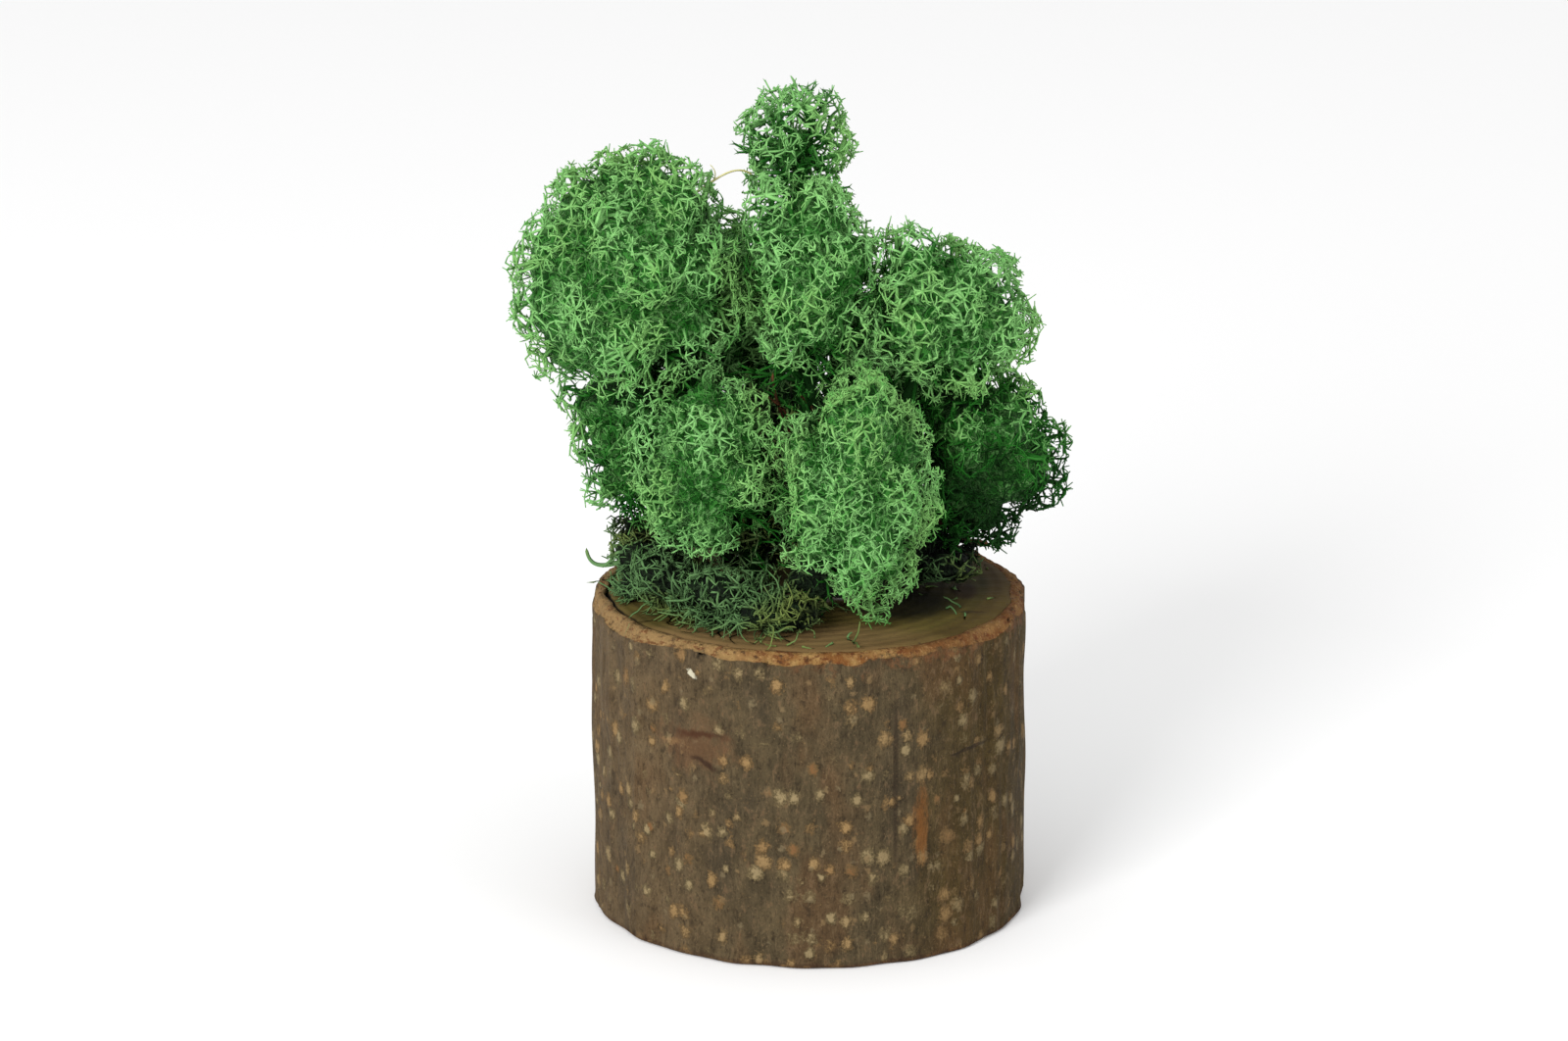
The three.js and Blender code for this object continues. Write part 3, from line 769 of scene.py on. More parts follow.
def filling(head, feet, random):
    """Old twigs inside a head, dark and half broken: from random points within, each one reaches back
    to the nearest fork and ends in two long spikes."""
    count = int(1.15 * head.mean**2)
    out_way, length, inside, _ = outline(head, unit(random.normal(0, 1, (count, 3))))
    depth = 1.2 + (0.75 * length - 1.2) * random.random(count) ** 1.3
    goals = head.fork + out_way * (length - depth)[:, None]
    starts = feet[squares(goals, feet).argmin(axis=1)]
    # Painted shade where heads meet darkens the old twigs too.
    depth = depth + painted_seam_shade(inside)
    kept = (np.linalg.norm(goals - starts, axis=1) > 0.5) & (length > min(5, 0.4 * head.mean))
    goals, starts, depth = goals[kept], starts[kept], depth[kept]
    side = unit(random.normal(0, 1, goals.shape))
    radii = 1.3 * OLD_RADIUS, OLD_RADIUS
    made, ways = twigs_to(goals, starts, side, radii, 3, 3, (depth + 1, depth), 0.4 * side)
    return joined([made, stars(goals, ways, depth, random, 2, 1.9, OLD_RADIUS)])


def grow(head):
    """All twigs of one head as (points, faces, depth): shells from outside in, then tubes."""
    random = np.random.default_rng(500 + head.index)
    shells, depths, steps = zip(*[shell(head, level, random) for level in range(LEVELS)])
    shells, depths = list(shells) + [head.fork[None]], list(depths) + [np.array([STALK_DEPTH])]
    parents, loads = [], [np.full(len(shells[0]), LAST_LOAD)]
    for level in range(LEVELS):
        parents.append(squares(shells[level] + steps[level], shells[level + 1]).argmin(axis=1))
        loads.append(np.bincount(parents[level], loads[level], len(shells[level + 1])))
    radii = [head.fine * TWIG_RADIUS * np.maximum(load, 1.0) ** LOAD_POWER for load in loads]
    ways = [None] * LEVELS + [-head.down[None]]
    parts = []
    for level in reversed(range(1, LEVELS)):
        parent = parents[level]
        foot = np.minimum(radii[level + 1][parent], 1.25 * radii[level])
        made, ways[level] = twigs_to(
            shells[level], shells[level + 1][parent], ways[level + 1][parent], (foot, radii[level]),
            STEPS[level], SIDES[level], (depths[level + 1][parent], depths[level]),
            0.35 * unit(shells[level] - head.fork),
        )
        parts.append(made)
        ends = loads[level] == 0
        if level < 4 and ends.any():  # twigs that bear no others end in a star
            feet = (array[level][ends] for array in (shells, ways, depths))
            parts.append(stars(*feet, random, 2, 0.4 + 0.12 * level, 0.9 * TWIG_RADIUS))
    parts.append(last_twigs(shells[0], shells[1][parents[0]], depths[0], depths[1][parents[0]], head.fine))
    for level in BRIDGED:
        if len(shells[level]) >= 8:
            parts.append(bridges(head, shells[level], depths[level], 0.95 * head.fine * TWIG_RADIUS, random))
    parts += [filling(head, np.concatenate(shells[2:5]), random), core(head, random)]
    points, faces, depth = joined(parts)
    # Painted shade: each head darker by its shade, least at its top and most at its bottom.
    bottom_shade = np.clip(0.8 - 0.5 * (points[:, 2] - head.middle[2]) / head.half[2], 0.3, 1.3)
    return points, faces, depth + head.shade * bottom_shade

# %% [markdown]
# # Stalks
# Under its head each stalk is a bundle of stiff old twigs, darker than the head, with short side
# twigs left over from former years.


# %% Stalk of one head
def stalk(head):
    """A tapering tube along the stalk's line, with side twigs that fork once."""
    random = np.random.default_rng(900 + head.index)
    wobble = np.cumsum(random.normal(0, 0.1, (1, STALK_STEPS, 3)), axis=1)
    path = head.stalk[None] + wobble - np.linspace(0, 1, STALK_STEPS)[None, :, None] * wobble[:, -1:]
    radius = np.linspace(1.0, 0.7, STALK_STEPS)[None]
    parts = [tubes(path, radius, 7, np.full(radius.shape, STALK_DEPTH))]
    count = 90
    at = random.integers(2, STALK_STEPS, count)
    foot = path[0, at]
    side = unit(random.normal(0, 1, (count, 3)) + [0, 0, 0.4])
    goal = foot + side * (2.5 + 5.5 * random.random((count, 1)))
    free = room(head, goal) > 0.3
    foot, goal, side = foot[free], goal[free], side[free]
    made, ways = twigs_to(goal, foot, side, (0.34, 0.22), 4, 4, (9, 6), 0.5 * side)
    parts.append(made)
    for lean, length in ((0.7, 1.8), (-0.5, 2.4)):
        tips = goal + length * unit(ways + lean * unit(np.cross(ways, side + 0.3)))
        fork, fork_ways = twigs_to(tips, goal, ways, (0.2, 0.15), 3, 3, (6, 5), 0.3 * ways)
        parts += [fork, stars(tips, fork_ways, 5, random, 3, 0.9, 0.13)]
    return joined(parts)


# %% [markdown]
# # Green moss
# The dye takes best at the tips, and little light reaches the twigs below them. So the colour follows
# the depth that each point stores, as painted shade: green tips, paler arms, and near black further in.


# %% Moss material
def warped(place, scale, reach):
    """The coordinates shifted by a noise of this scale, by up to about this reach in metres."""
    colour = Socket(place.tree, place.noise(scale, 2).output.node.outputs["Color"])
    shift = colour.node("ShaderNodeVectorMath", {"operation": "SCALE"}, i0=colour, Scale=2 * reach)
    return place.node("ShaderNodeVectorMath", {"operation": "ADD"}, i0=place, i1=shift)


def strands(place, cells, width):
    """A net of strands: the walls between Voronoi cells, this many a metre, bent by a noise. The width
    is a share of one cell."""
    at = warped(place, 900, 0.0008)
    kind = {"feature": "DISTANCE_TO_EDGE"}
    edge = at.node("ShaderNodeTexVoronoi", kind, Vector=at, Scale=cells, Randomness=1.0)
    return edge.between(width, 0.35 * width)


def blend(first, second, share):
    """Two plain colours mixed, with this share of the second."""
    return tuple((1 - share) * a + share * b for a, b in zip(first, second))


def moss_material(name, tip, arm, dark, inner, other):
    """Tips of one green, arms of a paler one just under them, which turns to another tone in broad
    blotches, and painted shade that darkens it towards near black a few millimetres down. Where the
    growth is packed, two nets of strands over each other look like more layers of twigs. They have the
    share inner of the arms' colour."""
    material, shader, place = new_material(name, roughness=0.8)
    depth = place.layer("depth")
    is_packed = depth.between(PACKED_DEPTH - 6, PACKED_DEPTH - 3)
    slow = place.noise(130, 3)
    fine = place.noise(2400, 2)
    uneven = depth + 1.6 * (slow - 0.5) + 0.6 * (fine - 0.5)
    arm_colour = place.noise(90, 2).between(0.4, 0.64).mix(arm, other)
    colour = uneven.between(-0.4, 0.7).mix(tip, arm_colour)
    # Painted shade: darker, then near black, the deeper a point lies.
    colour = uneven.between(1.4, 5.8).mix(colour, dark)
    black = (0, 0, 0)
    colour = uneven.between(4.5, 10.0).mix(colour, blend(black, dark, 0.25))
    mottled = place.noise(500, 3, 0.6)
    near_net = strands(place, 560, 0.16) * mottled.between(0.4, 0.52)
    far_net = strands(place, 940, 0.2)
    # The packed growth is near black, partly old growth and partly painted shade under the outer twigs.
    packed = mottled.between(0.3, 0.7).mix(blend(black, dark, 0.3), blend(black, dark, 0.9))
    packed = (0.85 * far_net).mix(packed, blend(dark, tip, 0.5 * inner))
    packed = (0.9 * near_net).mix(packed, blend(dark, arm, inner))
    # Painted shade: the packed growth darker where it lies between two heads.
    shaded_packed = depth.between(PACKED_DEPTH + 1.5, PACKED_DEPTH + 9)
    packed = (shaded_packed * 0.85).mix(packed, blend(black, dark, 0.3))
    drive(shader, "Base Color", is_packed.mix(colour, packed))
    bump(shader, fine + (5 * near_net + 3 * far_net) * is_packed, 0.1)
    return material


moss = moss_material("green dyed moss", tip=rgb(93, 159, 76), arm=rgb(127, 183, 109), dark=rgb(28, 96, 22),
                     inner=0.56, other=rgb(128, 180, 101))
for head in heads:
    part = joined([grow(head), stalk(head)])
    add_piece("lichen_" + head.name, part, moss, "moss_head_" + head.name)
print("moss triangles:", sum(triangles.values()), triangles, "after", round(time.time() - started, 1), "s")

# %% [markdown]
# # Log section
# The base is a short piece of a branch, sawn off straight at both ends. Under the grey outer bark lies
# a reddish inner bark, which shows where the saw tore the edge, and the dried wood has shrunk away from
# the bark and left a crack. A lathe would give one plain profile, so here the profile is carried round
# the log as a grid, and both its height and its radius may change with the angle.


# %% Log form
def waves(turn, height, random, count, periods, rise, fall=1.0):
    """Sum of cosines of k * turn + m * height + phase, each over k ** fall, scaled to a spread of 1.
    Every k is a whole number, so the pattern closes round the log."""
    k = random.integers(periods[0], periods[1] + 1, count)
    m, phase = random.normal(0, rise, count), 2 * math.pi * random.random(count)
    size = k.astype(float) ** -fall
    total = np.zeros(np.broadcast(turn, height).shape)
    for one_k, one_m, one_phase, one_size in zip(k, m, phase, size):
        total += one_size * np.cos(one_k * turn + one_m * height + one_phase)
    return total / math.sqrt((size**2).sum() / 2)


def bark_relief(turn, height):
    """Slow ovals of two and three periods, with ribs of seventeen periods that drift up the log."""
    oval = 0.35 * np.cos(2 * turn + 0.6) + 0.25 * np.cos(3 * turn + 2)
    drift = 0.5 * np.sin(height / 9 + 3 * turn)
    return oval + 0.28 * np.sin(17 * turn + drift) * np.cos(5 * turn - drift)


def log_grid(around=264):
    """Rings of points from the middle of the underside, up the bark, over the torn rim and the crack, to
    the middle of the top. Returns points (rings, around, 3) and, per point, how much inner bark shows,
    how deep it lies in a crack, and whether it is wood."""
    random = np.random.default_rng(11)
    turn = 2 * math.pi * np.arange(around) / around
    torn = 0.3 + 0.9 * np.clip(0.5 + 0.7 * waves(turn, 0, random, 14, (2, 24), 0, 0.5), 0.0, 1.6)
    torn = torn + 0.7 * np.exp(-((((turn - 4.6 + math.pi) % (2 * math.pi) - math.pi) / 0.5) ** 2))
    gap = -0.1 + 1.05 * np.cos(turn - 3.0) + 0.2 * waves(turn, 0, random, 8, (3, 11), 0)
    gap = np.clip(gap, 0.03, 1.5)
    rough = [waves(turn, 0, random, 50, (12, 110), 0, 0.3) for _ in range(3)]
    rings = []

    def ring(radius, height, inner=0.0, crack=0.0, wood=0.0):
        rings.append([np.broadcast_to(v, turn.shape) for v in (radius, height, inner, crack, wood)])

    for radius in (0, 8, 16, 22, 25.5, LOG_RADIUS - 1.6):
        ring(radius, 0, wood=1)
    for inset, height in ((0.75, 0), (0.3, 0.16), (0.06, 0.42)):
        ring(LOG_RADIUS - inset, height, 0.45 - 0.1 * height)
    for height in np.linspace(0.8, 40.6, 44):
        grain = 0.07 * waves(turn, height, np.random.default_rng(12), 46, (24, 120), 0.1, 0.2)
        broad = 0.1 * waves(turn, height, np.random.default_rng(13), 20, (6, 20), 0.25, 0.5)
        ring(LOG_RADIUS + grain + broad - 0.1, height)
    ring(LOG_RADIUS - 0.1 + 0.08 * rough[0], 41.3)

    # The torn rim from outside in: how far in, how rough, how high, its share of the tear, how wavy its
    # height is, and how much inner bark shows.
    bare = np.clip(1.2 * torn - 0.1, 0.2, 1)
    rim = [
        (0.12, 0.08, 43.62, 1, 0, 0.1), (0.24, 0.07, 43.72, 1, 0.08, 0.75 * bare),
        (0.5, 0.09, 43.8, 0.7, 0.08, bare), (0.66, 0.09, 43.84, 0.4, 0.08, 1),
        (0.86, 0.08, 43.88, 0.14, 0.07, 0.9), (1.15, 0.07, 43.9, 0, 0.06, 0.85),
        (1.45, 0.05, 43.9, 0, 0.06, 1), (1.8, 0.05, 43.88, 0, 0.04, 0.9),
    ]
    for k, (inset, shake, height, share, wave, shown) in enumerate(rim):
        top = height - share * torn + wave * rough[k % 3 - 1]
        ring(LOG_RADIUS - inset + shake * rough[k % 3], top, shown)

    # The crack between bark and wood, then the sawn top.
    dark = np.clip(1.5 * gap, 0, 1)
    wood_edge = 26.8 - 0.32 * gap + 0.06 * rough[2]
    ring(26.9 + 0.05 * rough[1], 43.85 - 0.5 * gap, 0.5, 0.6 * dark)
    ring(26.84 + 0.05 * rough[1], 43.85 - gap, 0.3, dark)
    ring(wood_edge, 43.85 - gap, 0, dark, 1)
    ring(wood_edge - 0.04, 43.9 - 0.3 * gap, 0, 0.6 * dark, 1)
    ring(wood_edge - 0.12, 43.97, 0, 0.1 * dark, 1)
    for radius in (25.6, 24, 21.5, 18.5, 15, 11, 7, 3.5, 0):
        saw = 0.03 * np.sin(radius * np.sin(turn) * 2.2 + 1.5) * min(1, radius / 5)
        ring(radius, LOG_HEIGHT + saw, wood=1)

    radius, height, *layers = np.moveaxis(np.array(rings), 1, 0)
    outer = np.clip((radius - 20) / 6, 0, 1)
    radius = radius + outer * bark_relief(turn[None], height) * (radius > 1)
    return np.stack([radius * np.cos(turn), radius * np.sin(turn), height], axis=-1), layers


log_points, log_layers = log_grid()
rows, around = log_points.shape[:2]
log_points, log_faces, (inner, crack, wood) = without_unused(
    log_points.reshape(-1, 3), one_pole(grid_faces(rows, around), rows, around),
    [layer.ravel() for layer in log_layers],
)
print("log points:", len(log_points), "faces:", len(log_faces))

# %% [markdown]
# # Bark and wood
# The bark is grey-brown, with fine upright fibres and many small corky spots, the pores it once breathed
# through. Fibres are a noise stretched upright, and each spot is one cell of a Voronoi pattern with its
# own size and colour. Both read the object's own coordinates in three dimensions, so no seam shows.


# %% Marks and corky spots
def near(place, middle, sizes, *noises, tilt=0.0):
    """1 at the middle and 0 at the edge of an ellipsoid with these half-sizes, all in millimetres. The
    tilt raises its right end, by an angle in radians. Pairs of a strength and a noise tear its edge."""
    middle, sizes = [tuple(MM * value for value in three) for three in (middle, sizes)]
    centred = place.node("ShaderNodeMapping", {"vector_type": "TEXTURE"}, Vector=place,
                         Location=middle, Rotation=(0, -tilt, 0), Scale=sizes)
    distance = centred.node("ShaderNodeVectorMath", {"operation": "LENGTH"}, 1, i0=centred)
    mask = distance.maths("MAXIMUM", 1 - distance, 0.0)
    for strength, noise in noises:
        mask = mask + strength * (noise - 0.5)
    return mask


def cork_spots(wobble, spacing, biggest, share):
    """Round spots, one in some cells of a Voronoi pattern: how near each point is to its spot's middle,
    from 0 at the edge to 1, and one random number for each spot."""
    at = wobble.stretched(z=0.85)
    kind = {"feature": "F1", "distance": "EUCLIDEAN"}
    away = at.node("ShaderNodeTexVoronoi", kind, Vector=at, Scale=1000 / spacing, Randomness=0.9)
    random = Socket(away.tree, away.output.node.outputs["Color"])
    chosen, size, hue = [random.node("ShaderNodeSeparateColor", output=k, Color=random) for k in range(3)]
    inwards = 1 - away / ((biggest / spacing) * (0.5 + 0.7 * size))
    return inwards.maths("MAXIMUM", inwards, 0.0) * chosen.maths("LESS_THAN", chosen, share), hue


# %% Bark material
def bark_material():
    """Grey-brown bark with fibres, blotches, corky spots, a knot, a rusty streak and torn inner bark."""
    material, shader, place = new_material("bark", roughness=0.85)
    bent_place, wobble = warped(place, 300, 0.0009), warped(place, 1700, 0.0003)
    fibre = warped(place, 400, 0.0006).stretched(z=0.14).noise(2100, 3, 0.7)
    fine = place.stretched(z=0.5).noise(4200, 2, 0.6)
    blotch = place.stretched(z=0.7).noise(300, 4, 0.6)
    mottle = place.stretched(z=0.6).noise(900, 3, 0.7)
    warm = place.stretched(z=0.5).noise(120, 3)
    shreds = place.stretched(z=1.8).noise(620, 3, 0.7)
    speck = place.noise(2600, 3, 0.7)
    lump = place.noise(420, 3)
    grain = place.noise(900, 4, 0.7)
    side = place.axis(0) + 0.014 * (place.noise(55, 2) - 0.5)
    height = place.axis(2)

    # Paler on the left and browner on the right, then patches, fibres and specks.
    grey = blotch.tones(0.35, 0.68, (60, 51, 34), (78, 66, 45))
    colour = layered(grey, [
        (side, -0.006, -0.024, 1, blotch.tones(0.3, 0.7, (76, 61, 40), (94, 78, 55))),
        (side, 0.008, 0.022, 1, blotch.tones(0.3, 0.7, (52, 40, 14), (66, 53, 25))),
        (warm, 0.5, 0.66, 0.45, (86, 61, 37)),
        (warm, 0.46, 0.32, 0.4, (52, 45, 34)),
        (fibre, 0.53, 0.72, 0.4, (108, 91, 65)),
        (fibre, 0.47, 0.3, 0.45, (36, 28, 16)),
        (mottle, 0.54, 0.7, 0.5, (104, 84, 60)),
        (mottle, 0.46, 0.3, 0.6, (38, 29, 17)),
        (speck, 0.56, 0.72, 0.5, (112, 92, 64)),
        (fine, 0.45, 0.3, 0.5, (32, 25, 14)),
    ])

    # Corky spots: big ones with a halo, more of them low on the log, and small ones.
    big, hue = cork_spots(wobble, 2.4, 1.36, 0.44 + 0.4 * height.between(0.036, 0.024))
    small, small_hue = cork_spots(wobble, 1.9, 0.75, 0.34)
    rough = 1.5 * (speck - 0.5) + 0.9 * (mottle - 0.5)
    halo = hue.tones(0.3, 0.7, (96, 75, 46), (92, 79, 53))
    cork = layered(hue.tones(0.3, 0.7, (138, 111, 72), (136, 119, 86)), [(hue, 0.14, 0.06, 1, (112, 79, 47))])
    tint = small_hue.tones(0.4, 0.6, (112, 91, 61), (106, 93, 68))
    calm = 1 - 0.45 * side.between(0.004, 0.02)
    colour = layered(colour, [
        (big + rough, 0.1, 0.4, 0.8 * big.between(0.0, 0.2), halo),
        (big + rough, 0.38, 0.75, 0.85 * calm, cork),
        (small + rough, 0.15, 0.7, 0.7 * small.between(0.0, 0.2) * calm, tint),
    ])

    # The knot's patch, brow, fold and a painted highlight on its lip, then a crease, a rusty streak, a dark
    # seam and a white fleck.
    colour = layered(colour, [
        (near(place, (-15.4, -24, 30), (9.4, 7, 6), (0.9, lump), (1.2, mottle)), 0.1, 0.9, 0.5, (94, 64, 40)),
        (near(bent_place, (-14.4, -24.6, 32.3), (5.8, 6, 0.9), (0.9, mottle), (0.5, fibre), tilt=0.05),
         0.1, 0.7, 0.85, (60, 33, 17)),
        (near(bent_place, (-13.2, -24.9, 28.7), (3.6, 6, 0.6), (0.8, mottle), tilt=-0.4),
         0.1, 0.7, 0.8, (42, 25, 15)),
        # Painted highlight along the knot's lip.
        (near(bent_place, (-17.6, -22.8, 30.7), (2.4, 6, 0.8), (0.9, speck), tilt=0.3),
         0.1, 0.6, 0.45, (132, 100, 64)),
        (near(bent_place, (22, -18.6, 29.1), (5.0, 8, 0.42), (0.4, mottle), tilt=0.03),
         0.1, 0.6, 0.7, (30, 21, 12)),
        (near(place, (14.6, -24.8, 19.2), (1.7, 3, 9), (1.2, fibre), (0.8, mottle)),
         0.15, 0.85, 0.7, (110, 68, 28)),
        (near(place, (11.2, -26.4, 26), (0.6, 3, 20), (0.7, fibre), (0.5, blotch)),
         0.2, 0.7, 0.6, (34, 25, 16)),
        (near(wobble, (-15.4, -24.4, 40.2), (1.35, 2.4, 0.6), (0.6, speck), tilt=-0.85),
         0.15, 0.4, 0.9, (190, 184, 160)),
    ])

    # Inner bark where the rim is torn, which also runs down under the edge, dark cracks, and a darker foot.
    rust = layered(lump.tones(0.36, 0.64, (106, 67, 30), (142, 112, 66)), [
        (side, -0.002, -0.02, 1, (130, 104, 66)),
        (side, 0.004, 0.02, 0.6, (96, 62, 32)),
        (shreds, 0.52, 0.62, 0.75, (84, 44, 20)),
        (grain, 0.46, 0.3, 0.8, (52, 32, 19)),
        (speck, 0.54, 0.7, 0.6, (160, 124, 82)),
    ])
    under_edge = 0.7 * side.between(-0.012, 0.004) * grain.between(0.4, 0.55)
    colour = layered(colour, [
        (height - 0.0412 + 0.009 * (lump - 0.5), 0.0, 0.0022, under_edge, (96, 62, 36)),
        (place.layer("inner") + 1.5 * (grain - 0.5) + 0.8 * (lump - 0.5), 0.2, 0.75, 1, rust),
        (place.layer("crack"), 0.2, 0.8, 0.9, (14, 9, 6)),
        (height + 0.0012 * (grain - 0.5), 0.0011, 0.0003, 0.6, (52, 30, 18)),
    ])
    drive(shader, "Base Color", colour)
    drive(shader, "Roughness", 0.92 - 0.2 * fibre)
    relief = 0.45 * fibre + 0.2 * fine + 0.2 * blotch + 0.3 * mottle + 0.15 * speck
    bump(shader, relief + 0.4 * big.between(0.1, 0.6) + 0.15 * small, 0.7)
    return material


# %% [markdown]
# # Sawn wood
# The sawn top has dried for years. The saw left straight marks and the year rings show faintly. On the
# right, under the heads, painted shade darkens it, with a painted shadow beside the front head. Rings are
# a sine of the distance from the pith.


# %% Wood material
def wood_material():
    """Sawn wood gone olive-grey: faint year rings, straight saw marks, a stain, dark specks, painted
    shade on the right and a painted shadow beside the front head.
    """
    material, shader, place = new_material("sawn wood", roughness=0.85)
    x, y = place.axis(0) + 0.0016, place.axis(1) - 0.001
    radius = (x * x + y * y) ** 0.5
    phase = radius * 3400 + 5 * place.noise(60, 3)
    rings = phase.maths("SINE", phase)
    saw = place.stretched(x=0.25).noise(2200, 3, 0.6)
    blotch = place.noise(150, 4, 0.6)
    speck = place.noise(1500, 3, 0.7)
    # Rings, saw marks, a paler front, specks, the pith, painted shade on the right, a painted shadow beside
    # the front head, a stain, a scratch, the edge and the crack.
    colour = layered(blotch.tones(0.34, 0.66, (74, 64, 26), (96, 84, 38)), [
        (rings, -0.2, 1.0, 0.16, (74, 60, 34)),
        (saw, 0.5, 0.72, 0.2, (116, 102, 64)),
        (near(place, (-6, -22, 44), (26, 9, 4), (0.5, blotch)), 0.0, 0.5, 0.7, (128, 102, 66)),
        (speck, 0.62, 0.7, 0.7, (40, 29, 17)),
        (near(place, (-1.6, 1.0, 44), (1.6, 1.5, 4)), 0.1, 0.6, 1, (44, 30, 18)),
        # Painted shade: the wood darker on the right, under the heads.
        (near(place, (17, 5, 44), (17, 17, 8), (0.5, blotch)), 0.0, 0.6, 0.8, (38, 34, 9)),
        # Painted shadow of the front head on the wood beside it.
        (near(place, (12, -7.5, 44), (9.5, 8, 4), (0.6, blotch)), 0.05, 0.5, 0.85, (14, 16, 7)),
        (near(place, (20.8, -1.5, 44), (2.4, 4.4, 3), (0.8, blotch)), 0.1, 0.5, 0.7, (40, 24, 13)),
        (near(place, (21.4, -10.4, 44), (2.6, 0.9, 3), (0.5, speck)), 0.25, 0.5, 0.6, (36, 28, 16)),
        (radius + 0.0008 * (blotch - 0.5), 0.0248, 0.0266, 0.35, (70, 46, 26)),
        (place.layer("crack"), 0.1, 0.7, 1, (14, 9, 6)),
    ])
    drive(shader, "Base Color", colour)
    bump(shader, 0.5 * saw + 0.2 * rings + 0.4 * blotch + 0.2 * speck, 0.18)
    return material


log_part = log_points, log_faces, {"inner": inner, "crack": crack, "wood": wood}
log = add_piece("log", log_part, bark_material(), "log_section")
log.data.materials.append(wood_material())
is_wood = (wood[log_faces].min(axis=1) > 0.5).astype(np.int32)
log.data.polygons.foreach_set("material_index", is_wood)
print("wood faces:", int(is_wood.sum()))

# %% [markdown]
# # Small bushes of dark moss
# Low on the log lies older, darker moss: a mat along the front and left, and short tufts between the
# stalks. One helper makes many little bushes at once. Each has a few arms, each arm forks into three,
# and each fork ends in three spikes.


# %% Bushes and curly threads
def bushes(feet, ways, sizes, random, arms=4, foot_depth=5.0, radius=0.2):
    """Arms of about half the bush's size that lean out from its way, three branches on each arm, and a
    star of three spikes on each branch."""
    parts, spike = [], 0.19 * sizes.mean()
    # How many, the least lean, the least length and its spread, radii at foot and end, steps, depths.
    kinds = [
        (arms, 0.25, 0.35, 0.3, (1.25 * radius, radius), 3, (foot_depth, 2.4)),
        (3, 0.35, 0.2, 0.22, (0.9 * radius, 0.75 * radius), 2, (2.2, 1.0)),
    ]
    for count, lean, least, spread, radii, steps, depths in kinds:
        out = leaning(ways, random, count, lean, 1.15)
        feet, ways, sizes = (np.repeat(array, count, axis=0) for array in (feet, ways, sizes))
        ends = feet + out * (sizes * (least + spread * random.random(len(sizes))))[:, None]
        lift = 0.3 * random.normal(0, 1, out.shape)
        made, ways = twigs_to(ends, feet, ways, radii, steps, 3, depths, lift)
        feet = ends
        parts.append(made)
    return joined([*parts, stars(feet, ways, 0.5, random, 3, spike, 0.62 * radius)])


def curls(feet, ways, lengths, random, radius, depth, steps=8, curl=0.9):
    """Threads that wander: each step turns the way by a random part of a radian, which grows smoothly."""
    n = len(feet)
    turns = np.cumsum(random.normal(0, curl / math.sqrt(steps), (n, steps, 3)), axis=1)
    bend = np.repeat(random.normal(0, curl / steps, (n, 1, 3)), steps, axis=1)
    step_ways = unit(ways[:, None] + turns + np.cumsum(bend, axis=1))
    gone = np.cumsum(np.concatenate([np.zeros((n, 1, 3)), step_ways], axis=1), axis=1)
    path = feet[:, None] + gone * (lengths / steps)[:, None, None]
    share = np.linspace(0, 1, steps + 1)[None]
    return tubes(path, radius[:, None] * (1 - 0.55 * share), 4, depth[:, None] * (1 - 0.5 * share))


def above_log(part, gap=0.12):
    """The part with its points lifted to the top of the log where they would be inside it."""
    points, faces, values = part
    inside = np.hypot(points[:, 0], points[:, 1]) < LOG_RADIUS + 0.4
    points[:, 2] = np.where(inside, np.maximum(points[:, 2], LOG_HEIGHT + gap), points[:, 2])
    return points, faces, values


# %% [markdown]
# # The dark mat
# The mat is a flat, older growth that creeps along the log's edge. It is grown like a row of heads, only
# low ones. Then some bushes and many wandering threads are laid over it, so that it looks matted.

# %% Dark mat
low_heads = [Head(len(HEADS) + index, *row) for index, row in enumerate(LOW_HEADS)]


def mat():
    """Seven low heads on an arc round the front and left of the log, with bushes and threads over them.
    Their feet lie round the arc's core, at a turn along it and a lift from outwards to inwards."""
    random = np.random.default_rng(21)
    parts = [grow(head) for head in low_heads[:MAT_HEADS]]
    for count, kind in ((40, "bush"), (360, "curl"), (26, "root")):
        turn = MAT["start"] + (MAT["end"] - MAT["start"]) * random.random(count)
        lift = math.pi * (0.02 + 0.86 * random.random(count))
        radial = level_ways(turn)
        out = radial * np.cos(lift)[:, None] + np.array([0, 0, 1.0]) * np.sin(lift)[:, None]
        core = radial * (MAT["ring"] + 1.0) + [0, 0, LOG_HEIGHT + 0.9]
        spread = 0.9 if kind == "bush" else 1.1
        feet = core + out * (MAT["core"] * (0.3 + spread * random.random(count)))[:, None]
        if kind == "bush":
            ways = unit(out + 0.3 * random.normal(0, 1, out.shape))
            sizes = 4.8 * (0.75 + 0.4 * random.random(count))
            parts.append(bushes(feet, ways, sizes, random, arms=3, radius=0.14))
            continue
        along = np.cross(radial, [0, 0, 1.0]) * np.where(random.random(count) < 0.5, 1, -1)[:, None]
        ways = unit(along + 0.7 * out + 0.5 * random.normal(0, 1, out.shape))
        thick, depth, length, curl = (0.11, 0.2, 4.0, 2.6) if kind == "curl" else (0.2, 1.4, 5.5, 1.5)
        depth = depth + 5.4 * random.random(count)
        radius = thick + 0.08 * random.random(count)
        lengths = length + 4 * random.random(count)
        parts.append(curls(feet, ways, lengths, random, radius, depth, curl=curl))
    return above_log(joined(parts))


